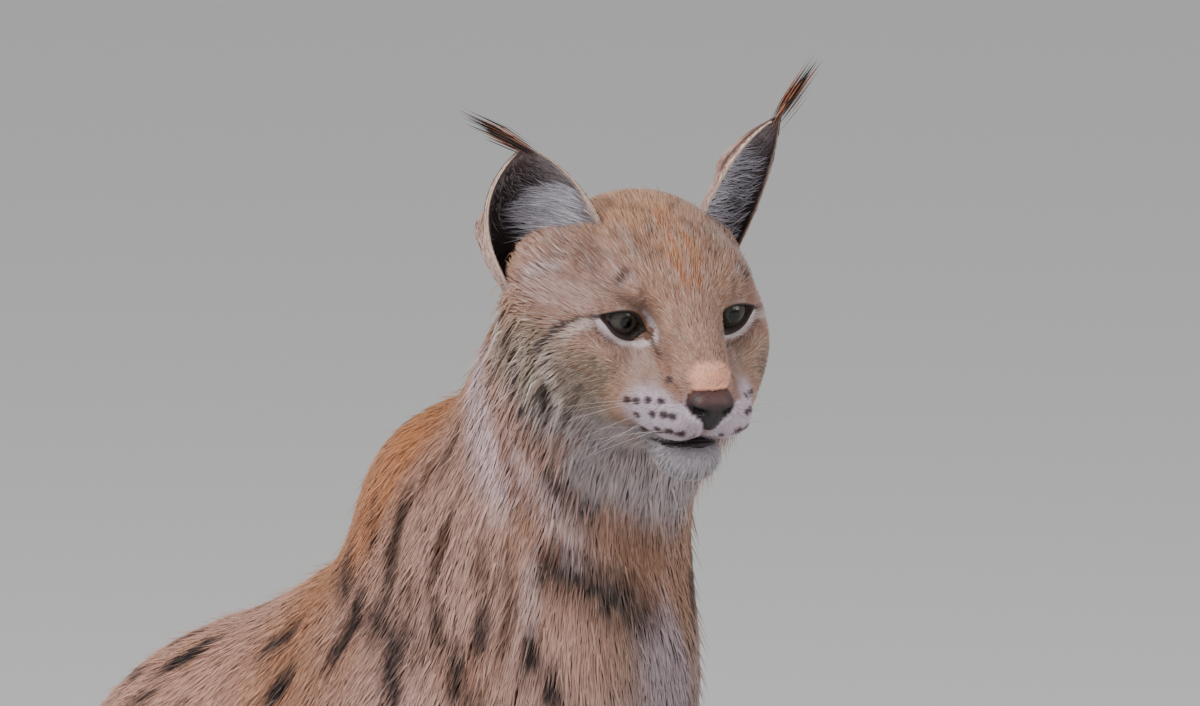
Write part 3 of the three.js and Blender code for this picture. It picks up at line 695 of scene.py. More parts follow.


# Marks of the coat where the photograph has them, and painted shade at the jaw and on the throat and chest:
# tone, strength, width in mm, and a way through its pixels
faceMarks = {
    "bridgePatch": ((252, 186, 160), 0.95, 15, [(703, 376), (709, 400)]),
    "bridgePatchFar": ((252, 186, 160), 0.95, 15, [(714, 374), (719, 398)]),
    "bridgeRust": ((142, 98, 76), 0.7, 8, [(659.6, 339), (663.7, 361.6), (669.8, 382), (678, 398)]),
    "whiteUnderEye": (
        (222, 208, 212), 0.95, 4.4, [(597, 317), (608, 332), (622, 342.5), (640, 346), (650, 343)]
    ),
    "lineUnderEye": ((92, 66, 62), 0.7, 1.8, [(590, 325), (604, 340), (620, 350), (638, 354)]),
    "innerWhite": ((214, 200, 206), 0.95, 5.5, [(647, 311), (655, 322), (659, 340)]),
    "tearLine": ((72, 50, 46), 0.9, 2.6, [(652, 331), (656, 342), (661, 353)]),
    "outerLine": (
        (62, 46, 42), 0.95, 2.8, [(606, 315.5), (590, 316.7), (578, 319), (570, 323), (561.6, 327)]
    ),
    "outerBlotch": ((58, 46, 44), 0.95, 6, [(562, 326), (553, 336), (543, 350)]),
    "templeLine": ((116, 88, 74), 0.6, 2.2, [(502, 314), (516.7, 309.6)]),
    "paleBehindEye": ((200, 182, 174), 0.8, 6, [(588, 323), (575, 329), (566, 338)]),
    "foreheadSooty": ((104, 76, 62), 0.5, 12, [(600, 262), (584, 256), (592, 236)]),
    "foreheadSootyB": ((112, 82, 66), 0.5, 10, [(618, 236), (632, 240), (640, 252)]),
    "templePink": ((192, 158, 152), 0.5, 16, [(540, 288), (562, 296), (584, 300)]),
    "belowEar": ((214, 200, 186), 0.75, 14, [(510, 314), (507, 334), (504, 352)]),
    "cheekOlive": ((98, 84, 64), 0.4, 17, [(590, 368), (592, 392)]),
    "earFront": ((198, 182, 182), 0.5, 8, [(534, 276), (545, 270), (560, 268)]),
    "cheekStreakA": ((52, 42, 38), 1.0, 9, [(534, 392), (530, 415), (527, 436)]),
    "cheekStreakB": ((62, 50, 44), 0.9, 6, [(530, 366), (525, 388)]),
    "cheekStreakC": ((58, 48, 42), 0.95, 7, [(553, 384), (550, 402), (548, 420)]),
    "cheekStreakD": ((76, 64, 56), 0.75, 6, [(582, 384), (574, 400), (568, 418)]),
    "cheekStreakE": ((46, 38, 36), 1.0, 11, [(550, 428), (546, 452), (550, 480)]),
    "cheekPaleA": ((200, 188, 178), 0.7, 5, [(541, 380), (539, 410), (536, 440)]),
    "cheekPaleB": ((196, 184, 176), 0.6, 6, [(563, 392), (560, 420), (560, 446)]),
    "jawStreak": ((50, 40, 40), 0.95, 11, [(552, 480), (561, 499), (577, 509), (590, 512)]),
    "cheekRustA": ((132, 100, 82), 0.55, 4, [(571, 364), (584, 367), (595, 375)]),
    "cheekRustB": ((132, 100, 82), 0.55, 4, [(519, 361), (511, 369)]),
    "noseEdge": ((96, 66, 62), 0.7, 1.8, [(681, 402.5), (692, 412.7)]),
    "foreheadRust": ((178, 118, 84), 0.62, 5, [(662, 214), (668, 234.5), (674, 255), (686, 284)]),
    "foreheadRustFar": ((178, 124, 92), 0.45, 4, [(692, 222), (696, 242), (700, 262)]),
    "foreheadDarkA": ((90, 66, 56), 0.75, 3, [(650.6, 225), (648, 237)]),
    "foreheadBrown": ((110, 78, 60), 0.75, 5, [(643, 259), (651, 256), (659, 251.5)]),
    "foreheadDot": ((112, 56, 46), 0.75, 3, [(671, 256), (672, 260)]),
    "browSpot": ((58, 44, 42), 0.95, 5, [(624, 269.7), (618, 280.6)]),
    "browPale": ((190, 170, 172), 0.35, 4, [(630, 275), (631, 280)]),
    "browBrown": ((104, 74, 56), 0.6, 4, [(641, 289), (644.5, 305)]),
    "foreheadLineA": ((122, 88, 68), 0.5, 2.6, [(642, 274), (636, 248), (634, 226)]),
    "foreheadLineB": ((122, 88, 68), 0.5, 2.6, [(654, 282), (651, 256), (648, 238)]),
    "foreheadLineC": ((122, 88, 68), 0.45, 2.6, [(666, 296), (664, 272)]),
    "foreheadOchre": ((190, 150, 104), 0.4, 4, [(692, 248), (694, 257.6)]),
    "foreheadGrey": ((176, 156, 146), 0.3, 5, [(640, 262), (628, 244), (622, 226)]),
    "crownLine": ((104, 74, 58), 0.55, 3, [(582, 226), (602, 214), (628, 211.5), (650, 217)]),
    "crownDark": ((110, 78, 62), 0.5, 4, [(640, 196), (645, 214)]),
    "crownDarkB": ((110, 78, 62), 0.5, 4, [(664, 186), (668, 204)]),
    "whiskerLine": (
        (92, 66, 64), 0.75, 2.6, [(645, 427), (660, 429.5), (670, 431), (681, 433.5), (694, 437)]
    ),
    "lidStrip": ((166, 150, 142), 0.6, 2.4, [(618, 307.5), (630, 306.5), (642, 308)]),
}
whiskerRows = {
    "top": [(629, 400.4), (638, 401.4), (649.4, 401.4), (661.6, 402.4)],
    "second": [(639, 414.3), (653.5, 415), (664.7, 415.7), (672.9, 417.8)],
    "third": [(647, 428), (659.6, 429.4), (669.8, 430.6), (681, 433), (692, 435)],
    "bridge": [(670.8, 381)],
}
bodyMarks = {
    "neckPale": ((212, 186, 188), 0.85, 28, [(476, 366), (474, 400), (479, 430), (487, 458), (502, 490)]),
    "neckPaleLow": ((208, 182, 182), 0.8, 14, [(506, 446), (520, 478), (540, 508), (560, 535), (574, 556)]),
    "neckPaleB": ((196, 170, 168), 0.6, 10, [(530, 560), (531, 590), (530, 620)]),
    "withersRust": ((190, 124, 82), 0.6, 34, [(424, 424), (398, 452), (374, 492), (360, 540)]),
    "neckLineA": ((150, 102, 78), 0.75, 8, [(499, 380), (500, 410), (502, 440), (504, 470), (514, 486)]),
    "neckLineB": ((116, 78, 60), 0.9, 10, [(504, 470), (524, 506), (542, 534), (556, 548)]),
    "neckRust": ((190, 148, 130), 0.5, 16, [(440, 440), (425, 462), (412, 480)]),
    # on the chest and the throat the coat's own tones are painted darker than the pale fur there: partly
    # painted shade
    "chestRed": ((132, 94, 72), 0.75, 34, [(616, 516), (638, 540), (650, 560)]),
    "chestGrey": ((158, 144, 152), 0.75, 42, [(662, 640), (675, 690)]),
    "throat": ((158, 150, 154), 0.85, 44, [(600, 466), (636, 480), (684, 496)]),
    "jawShade": ((96, 80, 76), 0.8, 14, [(560, 480), (572, 500), (590, 516)]),
    "streakA": ((72, 46, 36), 0.95, 8, [(368, 508), (372, 540)]),
    "streakB": ((70, 48, 38), 1.0, 12, [(404, 498), (395, 530), (390, 556), (388, 584)]),
    "streakC": ((84, 58, 46), 0.95, 9, [(446, 517), (438, 552), (428, 588)]),
    "streakD": ((92, 66, 52), 0.85, 8, [(452, 440), (446, 454), (439, 468)]),
    "streakE": ((88, 62, 50), 0.85, 9, [(477, 556), (481, 576), (486, 596)]),
    "streakF": ((90, 64, 52), 0.85, 8, [(504, 556), (511, 590), (508, 630), (498, 662)]),
    "streakG": ((94, 66, 52), 0.85, 8, [(426, 470), (420, 488)]),
    "streakH": ((78, 54, 42), 0.9, 9, [(402, 584), (410, 606)]),
    "streakI": ((86, 60, 48), 0.85, 8, [(412, 640), (420, 668)]),
    "spotA": ((44, 30, 26), 1.0, 11, [(480, 622), (478, 652)]),
    "spotB": ((44, 30, 26), 1.0, 13, [(531, 646), (530, 670)]),
    "spotC": ((68, 46, 36), 0.95, 11, [(434, 610), (437, 646)]),
    "spotD": ((52, 36, 30), 1.0, 11, [(453, 654), (458, 700)]),
    "spotE": ((40, 28, 26), 1.0, 14, [(549, 682), (554, 706)]),
    "spotF": ((44, 28, 26), 1.0, 12, [(343, 560), (345, 592)]),
    "spotG": ((44, 28, 26), 1.0, 13, [(356, 598), (352, 626)]),
    "spotH": ((60, 42, 38), 0.92, 20, [(374, 620), (396, 642)]),
    "spotI": ((44, 28, 26), 1.0, 13, [(388, 656), (392, 700)]),
    "backSpotA": ((36, 24, 22), 1.0, 13, [(251, 604), (270, 596), (292, 585)]),
    "backSpotB": ((36, 24, 22), 1.0, 15, [(166, 666), (188, 654), (209, 639)]),
    "backSpotC": ((38, 26, 24), 1.0, 11, [(109, 684), (134, 675)]),
    "backSpotD": ((38, 26, 24), 1.0, 11, [(134, 700), (147, 695)]),
    "backSpotE": ((38, 26, 24), 1.0, 13, [(266, 647), (288, 634)]),
    "backSpotF": ((38, 26, 24), 1.0, 13, [(268, 700), (286, 676)]),
    "backSpotG": ((48, 32, 28), 0.95, 12, [(330, 660), (340, 640)]),
    "collarRust": ((84, 58, 48), 0.85, 16, [(620, 588), (640, 600), (656, 614)]),
    "collarEnd": ((66, 48, 42), 0.9, 18, [(612, 602), (632, 612), (642, 628)]),
    "collar": ((28, 20, 18), 1.0, 21, [(552, 572), (575, 578), (597, 588), (614, 600)]),
}


def linesFrom(table, seenFrom):
    # every line of a table is placed in one call
    ways = [np.array(way, float) for way in table.values()]
    parts = np.cumsum([len(way) for way in ways])[:-1]
    return dict(zip(table, np.split(seenFrom(seenAt(np.concatenate(ways), shownField)), parts)))


def waysOf(marks):
    return {name: mark[3] for name, mark in marks.items()}


placed = linesFrom(waysOf(faceMarks) | whiskerRows, halfHead)
faceLines = {name: mark[:3] + (placed[name],) for name, mark in faceMarks.items()}
whiskerSpots = {name: placed[name] for name in whiskerRows}
for name, row in whiskerSpots.items():
    for i, spot in enumerate(row):
        faceLines[f"whisker_{name}_{i}"] = ((62, 42, 44), 0.95, 3.6, np.array([spot, spot + [-1.5, 0.8, 0]]))
placed = linesFrom(waysOf(bodyMarks), np.array)
bodyLines = {name: mark[:3] + (placed[name],) for name, mark in bodyMarks.items()}


def awayFrom(line, p):
    best = np.full(len(p), 1e9)
    for a, b in zip(line[:-1], line[1:]):
        ab = b - a
        t = np.clip((p - a) @ ab / max(ab @ ab, 1e-9), 0, 1)
        best = np.minimum(best, np.linalg.norm(p - a - t[:, None] * ab, axis=1))
    return best


toes = {"tint": (74, 52, 42), "near": 21, "line": (2.6, 0.6), "strength": 0.85}
toeLines = [np.array(line) for s in (1, -1) for paw in ("fore", "hind") for line in pawToes(s, paw)]


def toeCreaseShade(p):
    # how much painted shade lies in the crease between two toes: 1 midway between two toes of a paw
    away = np.sort(np.stack([awayFrom(line, p) for line in toeLines], 1), axis=1)
    return smooth(*toes["line"], away[:, 1] - away[:, 0]) * smooth(toes["near"] + 4, toes["near"], away[:, 0])


def addMarks(colours, p, lines, allowed=None):
    ragged = cloud(p, 4, 2) * 0.6 + cloud(p, 9, 4) * 0.5
    for tint, strength, width, line in lines.values():
        reach = width * 0.5 + 7
        near = ((p > line.min(0) - reach) & (p < line.max(0) + reach)).all(1)
        if allowed is not None:
            near &= allowed
        if near.any():
            away = awayFrom(line, p[near]) + ragged[near] * min(width * 0.2, 2.2)
            share = strength * (1 - smooth(width * 0.32, width * 0.62 + 0.5, away))
            colours[near] = tinted(colours[near], tint, share)
    return colours


# Spots for the parts of the body that the photograph doesn't show
spots = {
    "gap": (38, 58), "long": (8, 17), "wide": (5, 8.5), "tint": (44, 30, 27), "strength": (0.7, 0.95),
    "legGap": 27, "legShrink": 0.55, "belowGap": 1.5, "tries": 9000,
}


def inPhoto(p, n):
    d = p - eyePoint
    deep = -(d @ viewBack)
    px = middle[0] + focal * (d @ viewRight) / deep
    py = middle[1] - focal * (d @ viewUp) / deep
    return (n @ viewBack > 0.12) & (px > 60) & (py < 700)


lowLegs = together([
    (paired(bone((66, 70, 220), (98, 60, 80), 40, 27)), 1),
    (paired(bone((98, 60, 80), (150, 60, 20), 30, 30)), 10),
    (paired(bone((-190, 112, 30), (0, 118, 22), 30, 30)), 1),
])


def coverPoint(p, n):
    return p + n * (coatDepth(p) * (1 - headShare(p)))[:, None]


# The way the hair lies: the runs of the body, and on the head away from the nose
runs = {
    "spine": [(150, -20, 745), (80, 0, 640), (-40, 0, 560), (-170, 0, 450), (-300, 0, 260), (-370, 0, 90)],
    "throat": [(236, -50, 630), (215, -20, 520), (180, 0, 400), (110, 0, 320)],
    "belly": [(90, 0, 320), (0, 0, 270), (-150, 0, 190)],
    "tail": tail["way"],
}
pairedRuns = {
    "neck": [(190, 92, 660), (160, 98, 560), (134, 98, 440), (110, 96, 330)],
    "neck side": [(126, 78, 720), (106, 92, 600), (90, 100, 480), (76, 104, 350)],
    "withers": [(50, 58, 640), (42, 80, 540), (34, 98, 430), (26, 108, 330)],
    "ribs": [(-36, 66, 560), (-62, 92, 460), (-86, 108, 350), (-112, 116, 250)],
    "foreleg": [(60, 84, 318), (98, 66, 80), (150, 62, 16)],
    "foreleg inner": [(30, 40, 318), (80, 40, 80), (140, 50, 16)],
    "flank": [(60, 100, 470), (-60, 115, 390), (-190, 125, 250), (-280, 110, 110), (-320, 90, 40)],
    "knee": [(-64, 98, 282), (-24, 114, 248), (-6, 114, 202), (-20, 112, 150)],
    "thigh": [(-60, 130, 230), (-140, 140, 150), (-230, 130, 60)],
    "foot": [(-230, 116, 24), (-100, 120, 30), (30, 120, 14)],
}
bothSides = [[(x, s * y, z) for x, y, z in run] for run in pairedRuns.values() for s in (1, -1)]
runPoints, runWays = [], []
for way in [*runs.values(), *bothSides]:
    line = catmull(way, np.linspace(0, 1, 6 * len(way)))
    runPoints.append((line[1:] + line[:-1]) / 2)
    runWays.append(unit(line[1:] - line[:-1]))
runPoints, runWays = np.concatenate(runPoints), np.concatenate(runWays)


lay = {
    "noseTip": (62, 0, -26), "cheekFall": (-0.25, 0, -1.0), "blur": 500, "batch": 8000,
    "swirls": [(38, 8, 0.14), (13, 9, 0.08)],  # size, seed and strength
}


def lieAt(p, n):
    body = np.zeros_like(p)
    for part in np.array_split(np.arange(len(p)), max(1, len(p) // lay["batch"])):
        q = p[part]
        d2 = (q**2).sum(1)[:, None] + (runPoints**2).sum(1)[None] - 2 * q @ runPoints.T
        weight = 1 / (np.maximum(d2, 0) + lay["blur"]) ** 2
        body[part] = unit(weight @ runWays)
    h = toHead(p)
    away = unit(h - np.array(lay["noseTip"]))
    low = smooth(6, -34, h[:, 2]) * smooth(18, 44, np.abs(h[:, 1])) * smooth(30, 0, h[:, 0])
    away = away + low[:, None] * np.array(lay["cheekFall"]) * 1.1
    head = unit(away) @ headRotation.T
    lie = mix(body, head, smooth(0.25, 0.8, headShare(p))[:, None])
    lie = lie - n * (lie * n).sum(1)[:, None]
    side = np.cross(n, unit(lie))
    swirl = sum(cloud(p, size, seed) * strength for size, seed, strength in lay["swirls"])
    return unit(unit(lie) + side * swirl[:, None])


# Lengths of the hair, in mm, and on the head the spans over which each comes in
hairLong = {"forehead": 8.5, "body": 24, "shoulder": 31, "leg": 12}
headHair = {
    "crown": (12.5, ("x", -20, -56)),
    "cheek": (14, ("z", -6, -30), ("y", 30, 46), ("x", 20, -5)),
    "brow": (5.0, ("x", -14, 12), ("z", 30, 12)),
    "muzzle": (3.4, ("x", 14, 36), ("z", 20, -6)),
    "lids": (3.0, ("pastLids", 26, 8)),
    "chin": (11.5, ("z", -56, -70), ("x", 0, 20)),
}


def hairLength(p):
    h = halfHead(p)
    angles, r = eyeAngles(h, 1)
    pastLids = np.where(r < 30, pastOpening(angles), 1000)
    values = {"x": h[:, 0], "y": h[:, 1], "z": h[:, 2], "pastLids": pastLids}
    head = np.full(len(p), hairLong["forehead"])
    for long, *spans in headHair.values():
        head = mix(head, long, within(values, spans))
    body = mix(hairLong["body"], hairLong["shoulder"], smooth(60, 140, p[:, 0]) * smooth(320, 380, p[:, 2]))
    body = mix(body, hairLong["leg"], smooth(14, -6, lowLegs(p)))
    return mix(body, head, smooth(0.3, 0.75, headShare(p)))


bodyPick = np.nonzero((headShare(skinPoints) < 0.3) & (skinPoints[:, 2] > 12))[0]
coverPoints = coverPoint(skinPoints, skinNormals)
mirror = np.array([1, -1, 1])
seen = inPhoto(coverPoints, skinNormals) | inPhoto(coverPoints * mirror, skinNormals * mirror)
bodyPick = rng.permutation(bodyPick[~seen[bodyPick]])[:spots["tries"]]
onLeg = lowLegs(coverPoints[bodyPick]) < 6
under = (skinNormals[bodyPick, 2] < -0.35) & (coverPoints[bodyPick, 2] > 60)
spotCentres, spotGaps = np.zeros((0, 3)), np.zeros(0)
for i, leg, below in zip(bodyPick, onLeg, under):
    gap = spots["legGap"] if leg else rng.uniform(*spots["gap"]) * (spots["belowGap"] if below else 1)
    away = np.linalg.norm(spotCentres - coverPoints[i], axis=1)
    if (away < np.minimum(gap, spotGaps)).any():
        continue
    spotCentres = np.vstack([spotCentres, coverPoints[i]])
    spotGaps = np.append(spotGaps, gap)
nearest = [int(np.argmin(((coverPoints - c) ** 2).sum(1))) for c in spotCentres]
spotWays = lieAt(coverPoints[nearest], skinNormals[nearest])
spotShrink = np.where(spotGaps == spots["legGap"], spots["legShrink"], 1)
spotLong = rng.uniform(*spots["long"], len(spotCentres)) * spotShrink
spotWide = rng.uniform(*spots["wide"], len(spotCentres)) * spotShrink
spotStrength = rng.uniform(*spots["strength"], len(spotCentres))
print("spots placed:", len(spotCentres))


def addSpots(colours, p):
    ragged = cloud(p, 5, 6) * 0.22
    for centre, way, long, wide, strength in zip(spotCentres, spotWays, spotLong, spotWide, spotStrength):
        near = (np.abs(p - centre) < long * 1.6).all(1)
        if near.any():
            d = p[near] - centre
            along = d @ way
            across2 = np.maximum((d * d).sum(1) - along * along, 0)
            away = np.sqrt((along / long) ** 2 + across2 / wide**2) + ragged[near]
            colours[near] = tinted(colours[near], spots["tint"], strength * (1 - smooth(0.6, 1.15, away)))
    return colours


clouds = {"rusty": (160, 112, 82), "rosy": (190, 158, 150), "dusky": (146, 104, 78)}


def coatColour(p, n):
    # p lies where the coat shows: on the body at the hair's height, on the head at the skin
    head = headShare(p)
    h = halfHead(p)
    colours = mix(bodyColour(p, n), headColour(h), smooth(0.25, 0.75, head)[:, None])
    far = head < 0.9
    q = p[far]
    body = tinted(colours[far], clouds["rusty"], smooth(0.1, 0.8, cloud(q, 42, 14)) * 0.45)
    rosy = smooth(0.1, 0.8, cloud(q * [1, 1, 0.5], 34, 18)) * 0.38 * smooth(-20, 70, q[:, 0])
    body = tinted(body, clouds["rosy"], rosy)
    hanging = cloud(q * [1, 1, 0.2], 6, 33) * smooth(-70, 10, q[:, 0]) * smooth(260, 320, q[:, 2])
    body = body * (1 + cloud(q, 12, 13) * 0.07 + hanging * 0.12)[:, None]
    body = addMarks(body, q, bodyLines)
    warped = q * mirror + np.stack([cloud(q, 60, seed) for seed in (15, 16, 17)], 1) * 7
    body = addMarks(body, warped, bodyLines, q[:, 1] > 24)  # the same marks, a little moved, on the left side
    colours[far] = addSpots(body, q)
    low = p[:, 2] < 48
    if low.any():
        # painted shade in the creases between the toes
        colours[low] = tinted(colours[low], toes["tint"], toeCreaseShade(p[low]) * toes["strength"])
    near = (np.linalg.norm(h, axis=1) < 165) & (p[:, 2] > 560)
    h = h[near]
    plainHide = smooth(20, 36, h[:, 0]) * smooth(-20, -32, h[:, 2])
    mottle = cloud(h, 3.0, 11) * 0.17 + cloud(h, 8, 12) * 0.12
    mottle = mottle + cloud(h * [0.3, 1, 0.45], 2.6, 32) * 0.2
    face = colours[near] * (1 + mottle * (1 - 0.75 * plainHide))[:, None]
    dusky = smooth(0.1, 0.7, cloud(h, 11, 34)) * 0.3 * (1 - plainHide) * head[near]
    colours[near] = addMarks(tinted(face, clouds["dusky"], dusky), h, faceLines)
    return np.clip(colours, 0.002, 0.95)


# Materials
def joinTo(tree, value, socket):
    # a number is set on the socket, an output is linked to it
    if isinstance(value, (int, float)):
        socket.default_value = value
    else:
        tree.links.new(value, socket)


def addNode(tree, kind, **values):
    node = tree.nodes.new(kind)
    for key, value in values.items():
        setattr(node, key, value)
    return node


def addMath(tree, operation, a, b):
    node = addNode(tree, "ShaderNodeMath", operation=operation)
    joinTo(tree, a, node.inputs[0])
    joinTo(tree, b, node.inputs[1])
    return node.outputs[0]


def addTint(tree, colour, factor):
    # the colour made lighter or darker by a value round 1
    node = addNode(tree, "ShaderNodeVectorMath", operation="SCALE")
    tree.links.new(colour, node.inputs[0])
    tree.links.new(factor, node.inputs["Scale"])
    return node.outputs[0]


def addTexture(tree, kind, vector, scale):
    node = addNode(tree, kind)
    tree.links.new(vector, node.inputs["Vector"])
    joinTo(tree, scale, node.inputs["Scale"])
    return node


def addNoise(tree, vector, scale, detail):
    node = addTexture(tree, "ShaderNodeTexNoise", vector, scale)
    node.inputs["Detail"].default_value = detail
    return node.outputs["Fac"]


def ownPlace(tree):
    return addNode(tree, "ShaderNodeTexCoord").outputs["Object"]


def stretched(tree, uvMap, across, along):
    # a map drawn out for a noise, and the map's second value
    parts = addNode(tree, "ShaderNodeSeparateXYZ")
    tree.links.new(addNode(tree, "ShaderNodeUVMap", uv_map=uvMap).outputs["UV"], parts.inputs[0])
    joined = addNode(tree, "ShaderNodeCombineXYZ")
    tree.links.new(addMath(tree, "MULTIPLY", parts.outputs["X"], across), joined.inputs["X"])
    tree.links.new(addMath(tree, "MULTIPLY", parts.outputs["Y"], along), joined.inputs["Y"])
    return joined.outputs[0], parts.outputs["Y"]


def swung(tree, value, contrast, reach):
    # a factor that swings round 1 with a noise
    swing = addMath(tree, "MULTIPLY", addMath(tree, "SUBTRACT", value, 0.5), contrast)
    return addMath(tree, "ADD", addMath(tree, "MULTIPLY", swing, reach), 1.0)


# Each of these gives the factor of the colour and the height for the bump
def hairStreaks(tree, strands, contrast):
    noise = addNoise(tree, stretched(tree, "hairRun", strands, 1.6)[0], 1.0, 2.0)
    return swung(tree, noise, contrast, 2.4), noise


def underFur(tree, grain, contrast):
    noise = addNoise(tree, ownPlace(tree), grain, 3.0)
    return swung(tree, noise, contrast, 2.0), noise


def pebbled(tree, pebbles, contrast):
    gap = addTexture(tree, "ShaderNodeTexVoronoi", ownPlace(tree), pebbles).outputs["Distance"]
    # each pebble painted darker towards its edge, where the bump sinks: painted shade in the creases between
    # the pebbles
    factor = addMath(tree, "SUBTRACT", 1.15, addMath(tree, "MULTIPLY", gap, contrast))
    return factor, addMath(tree, "SUBTRACT", 1.0, gap)


def makeEffect(name, texture, hue, plain, amount, usual):
    group = bpy.data.node_groups.new(name, "ShaderNodeTree")
    entries = {hue: ("Color", plain), amount: ("Float", usual), "Contrast": ("Float", 0.5)}
    for label, (kind, value) in entries.items():
        socket = group.interface.new_socket(name=label, in_out="INPUT", socket_type="NodeSocket" + kind)
        socket.default_value = value
    for label, kind in (("Colour", "Color"), ("Height", "Float")):
        group.interface.new_socket(name=label, in_out="OUTPUT", socket_type="NodeSocket" + kind)
    start, end = group.nodes.new("NodeGroupInput"), group.nodes.new("NodeGroupOutput")
    factor, height = texture(group, start.outputs[amount], start.outputs["Contrast"])
    group.links.new(addTint(group, start.outputs[hue], factor), end.inputs["Colour"])
    group.links.new(height, end.inputs["Height"])
    return group


furTone, hideTone = (0.5, 0.4, 0.3, 1), (0.1, 0.05, 0.05, 1)
groups = {
    "hairStreaks": makeEffect("hairStreaks", hairStreaks, "Hair colour", furTone, "Strands", 5.0),
    "underFur": makeEffect("underFur", underFur, "Skin colour", furTone, "Grain", 900.0),
    "pebbled": makeEffect("pebbled", pebbled, "Hide colour", hideTone, "Pebbles", 900.0),
}


def newMaterial(name):
    material = bpy.data.materials.new(name)
    material.use_nodes = True
    return material, material.node_tree, material.node_tree.nodes["Principled BSDF"]


def makeFinish(name, effect, amount, contrast, roughness, bump, depth, more):
    # a painted finish: the mesh's own colours, taken through one of the groups
    material, tree, shader = newMaterial(name)
    painted = addNode(tree, "ShaderNodeAttribute", attribute_name="coatColour")
    shaded = addNode(tree, "ShaderNodeGroup", node_tree=groups[effect])
    tree.links.new(painted.outputs["Color"], shaded.inputs[0])
    shaded.inputs[1].default_value = amount
    shaded.inputs["Contrast"].default_value = contrast
    tree.links.new(shaded.outputs["Colour"], shader.inputs["Base Color"])
    raised = addNode(tree, "ShaderNodeBump")
    raised.inputs["Strength"].default_value = bump
    raised.inputs["Distance"].default_value = depth
    tree.links.new(shaded.outputs["Height"], raised.inputs["Height"])
    tree.links.new(raised.outputs["Normal"], shader.inputs["Normal"])
    for label, value in {"Roughness": roughness, "Specular IOR Level": 0.3, **more}.items():
        shader.inputs[label].default_value = value
    return material


# Group, its amount and contrast, roughness, strength and depth of the bump, and the shader's other sockets
finishRows = {
    "longHair": ("hairStreaks", 4, 0.4, 0.75, 0.25, 0.0004, {"Sheen Weight": 0.12, "Sheen Roughness": 0.4}),
    "shortHair": ("hairStreaks", 2, 0.35, 0.78, 0.2, 0.0003, {"Sheen Weight": 0.1, "Sheen Roughness": 0.4}),
    "hide": ("underFur", 700, 0.6, 0.8, 0.5, 0.0006, {}),
    "lidHide": ("underFur", 1100, 0.35, 0.55, 0.3, 0.0003, {}),
    "noseLeather": ("pebbled", 900, 0.45, 0.5, 0.5, 0.0004, {"Specular IOR Level": 0.34}),
    "lipHide": ("pebbled", 1200, 0.3, 0.5, 0.3, 0.0003, {}),
    "clawHorn": ("pebbled", 500, 0.2, 0.35, 0.2, 0.0003,
                 {"Coat Weight": 0.3, "Coat Roughness": 0.12, "Specular IOR Level": 0.5}),
}
finishes = {name: makeFinish(name, *row) for name, row in finishRows.items()}

# The nose leather, with a comma-shaped nostril at each side and a groove down its middle
noseLeather = {
    # nostril and under are painted shade: near black in the nostril hollows and on the skin under the leather
    "step": 0.9, "top": (80, 56, 54), "low": (36, 29, 31), "nostril": (14, 10, 12), "patch": (52, 40, 42),
    "under": (22, 16, 18),
}
leather = together([
    (paired(pad([59, 5.6, -32], [10.5, 7.8, 7.4])), 1),
    (pad([59, 0, -29.5], [10, 9.5, 5.5]), 4),
    (pad([60, 0, -38], [9.5, 5.5, 9.5]), 5),
])

# The skin, with the colours and markings of the coat a little darker as painted shade under the hair, and
# painted shade under the nose leather where the nostrils show it
skinPaint = coatColour(coverPoints, skinNormals) * coat["skinPaintedShade"]
skinPaint = tinted(skinPaint, noseLeather["under"], smooth(1.6, 0.2, leather(toHead(skinPoints))))
fleshNodes = [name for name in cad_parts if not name.startswith(("eye", "nose", "ear"))]
dress(addMesh("skin", skinPoints, skinQuads), skinPaint, finishes["hide"], "coat", *fleshNodes)
print("skin painted")


def marched(field, start, ray, first, last, steps=60):
    # the first place beyond `first` where each ray comes out of the field, as a distance
    t = np.full(len(ray), float(first))
    for _ in range(steps):
        d = field(start + ray * t[:, None])
        t = np.where(d < -0.02, np.minimum(t + np.maximum(-d * 0.8, 0.05), last), t)
    return t


def ringQuads(rings, spokes, closed=True):
    i, j = np.meshgrid(np.arange(rings - 1), np.arange(spokes if closed else spokes - 1), indexing="ij")
    k = (j + 1) % spokes
    here, onward = i * spokes, (i + 1) * spokes
    return np.stack([here + j, here + k, onward + k, onward + j], -1).reshape(-1, 4)


# Rings of an eyelid: how far out from the opening, and how deep under the skin's surface
lidRings = [
    (-0.02, 3.2), (-0.03, 1.6), (-0.02, 0.6), (0.0, 0.1), (0.02, 0), (0.045, 0), (0.08, 0), (0.12, 0),
    (0.17, 0), (0.23, 0), (0.3, 0), (0.38, 0), (0.47, 0), (0.57, 0), (0.68, 0), (0.8, 0), (0.92, 0.1), (1, 1),
]


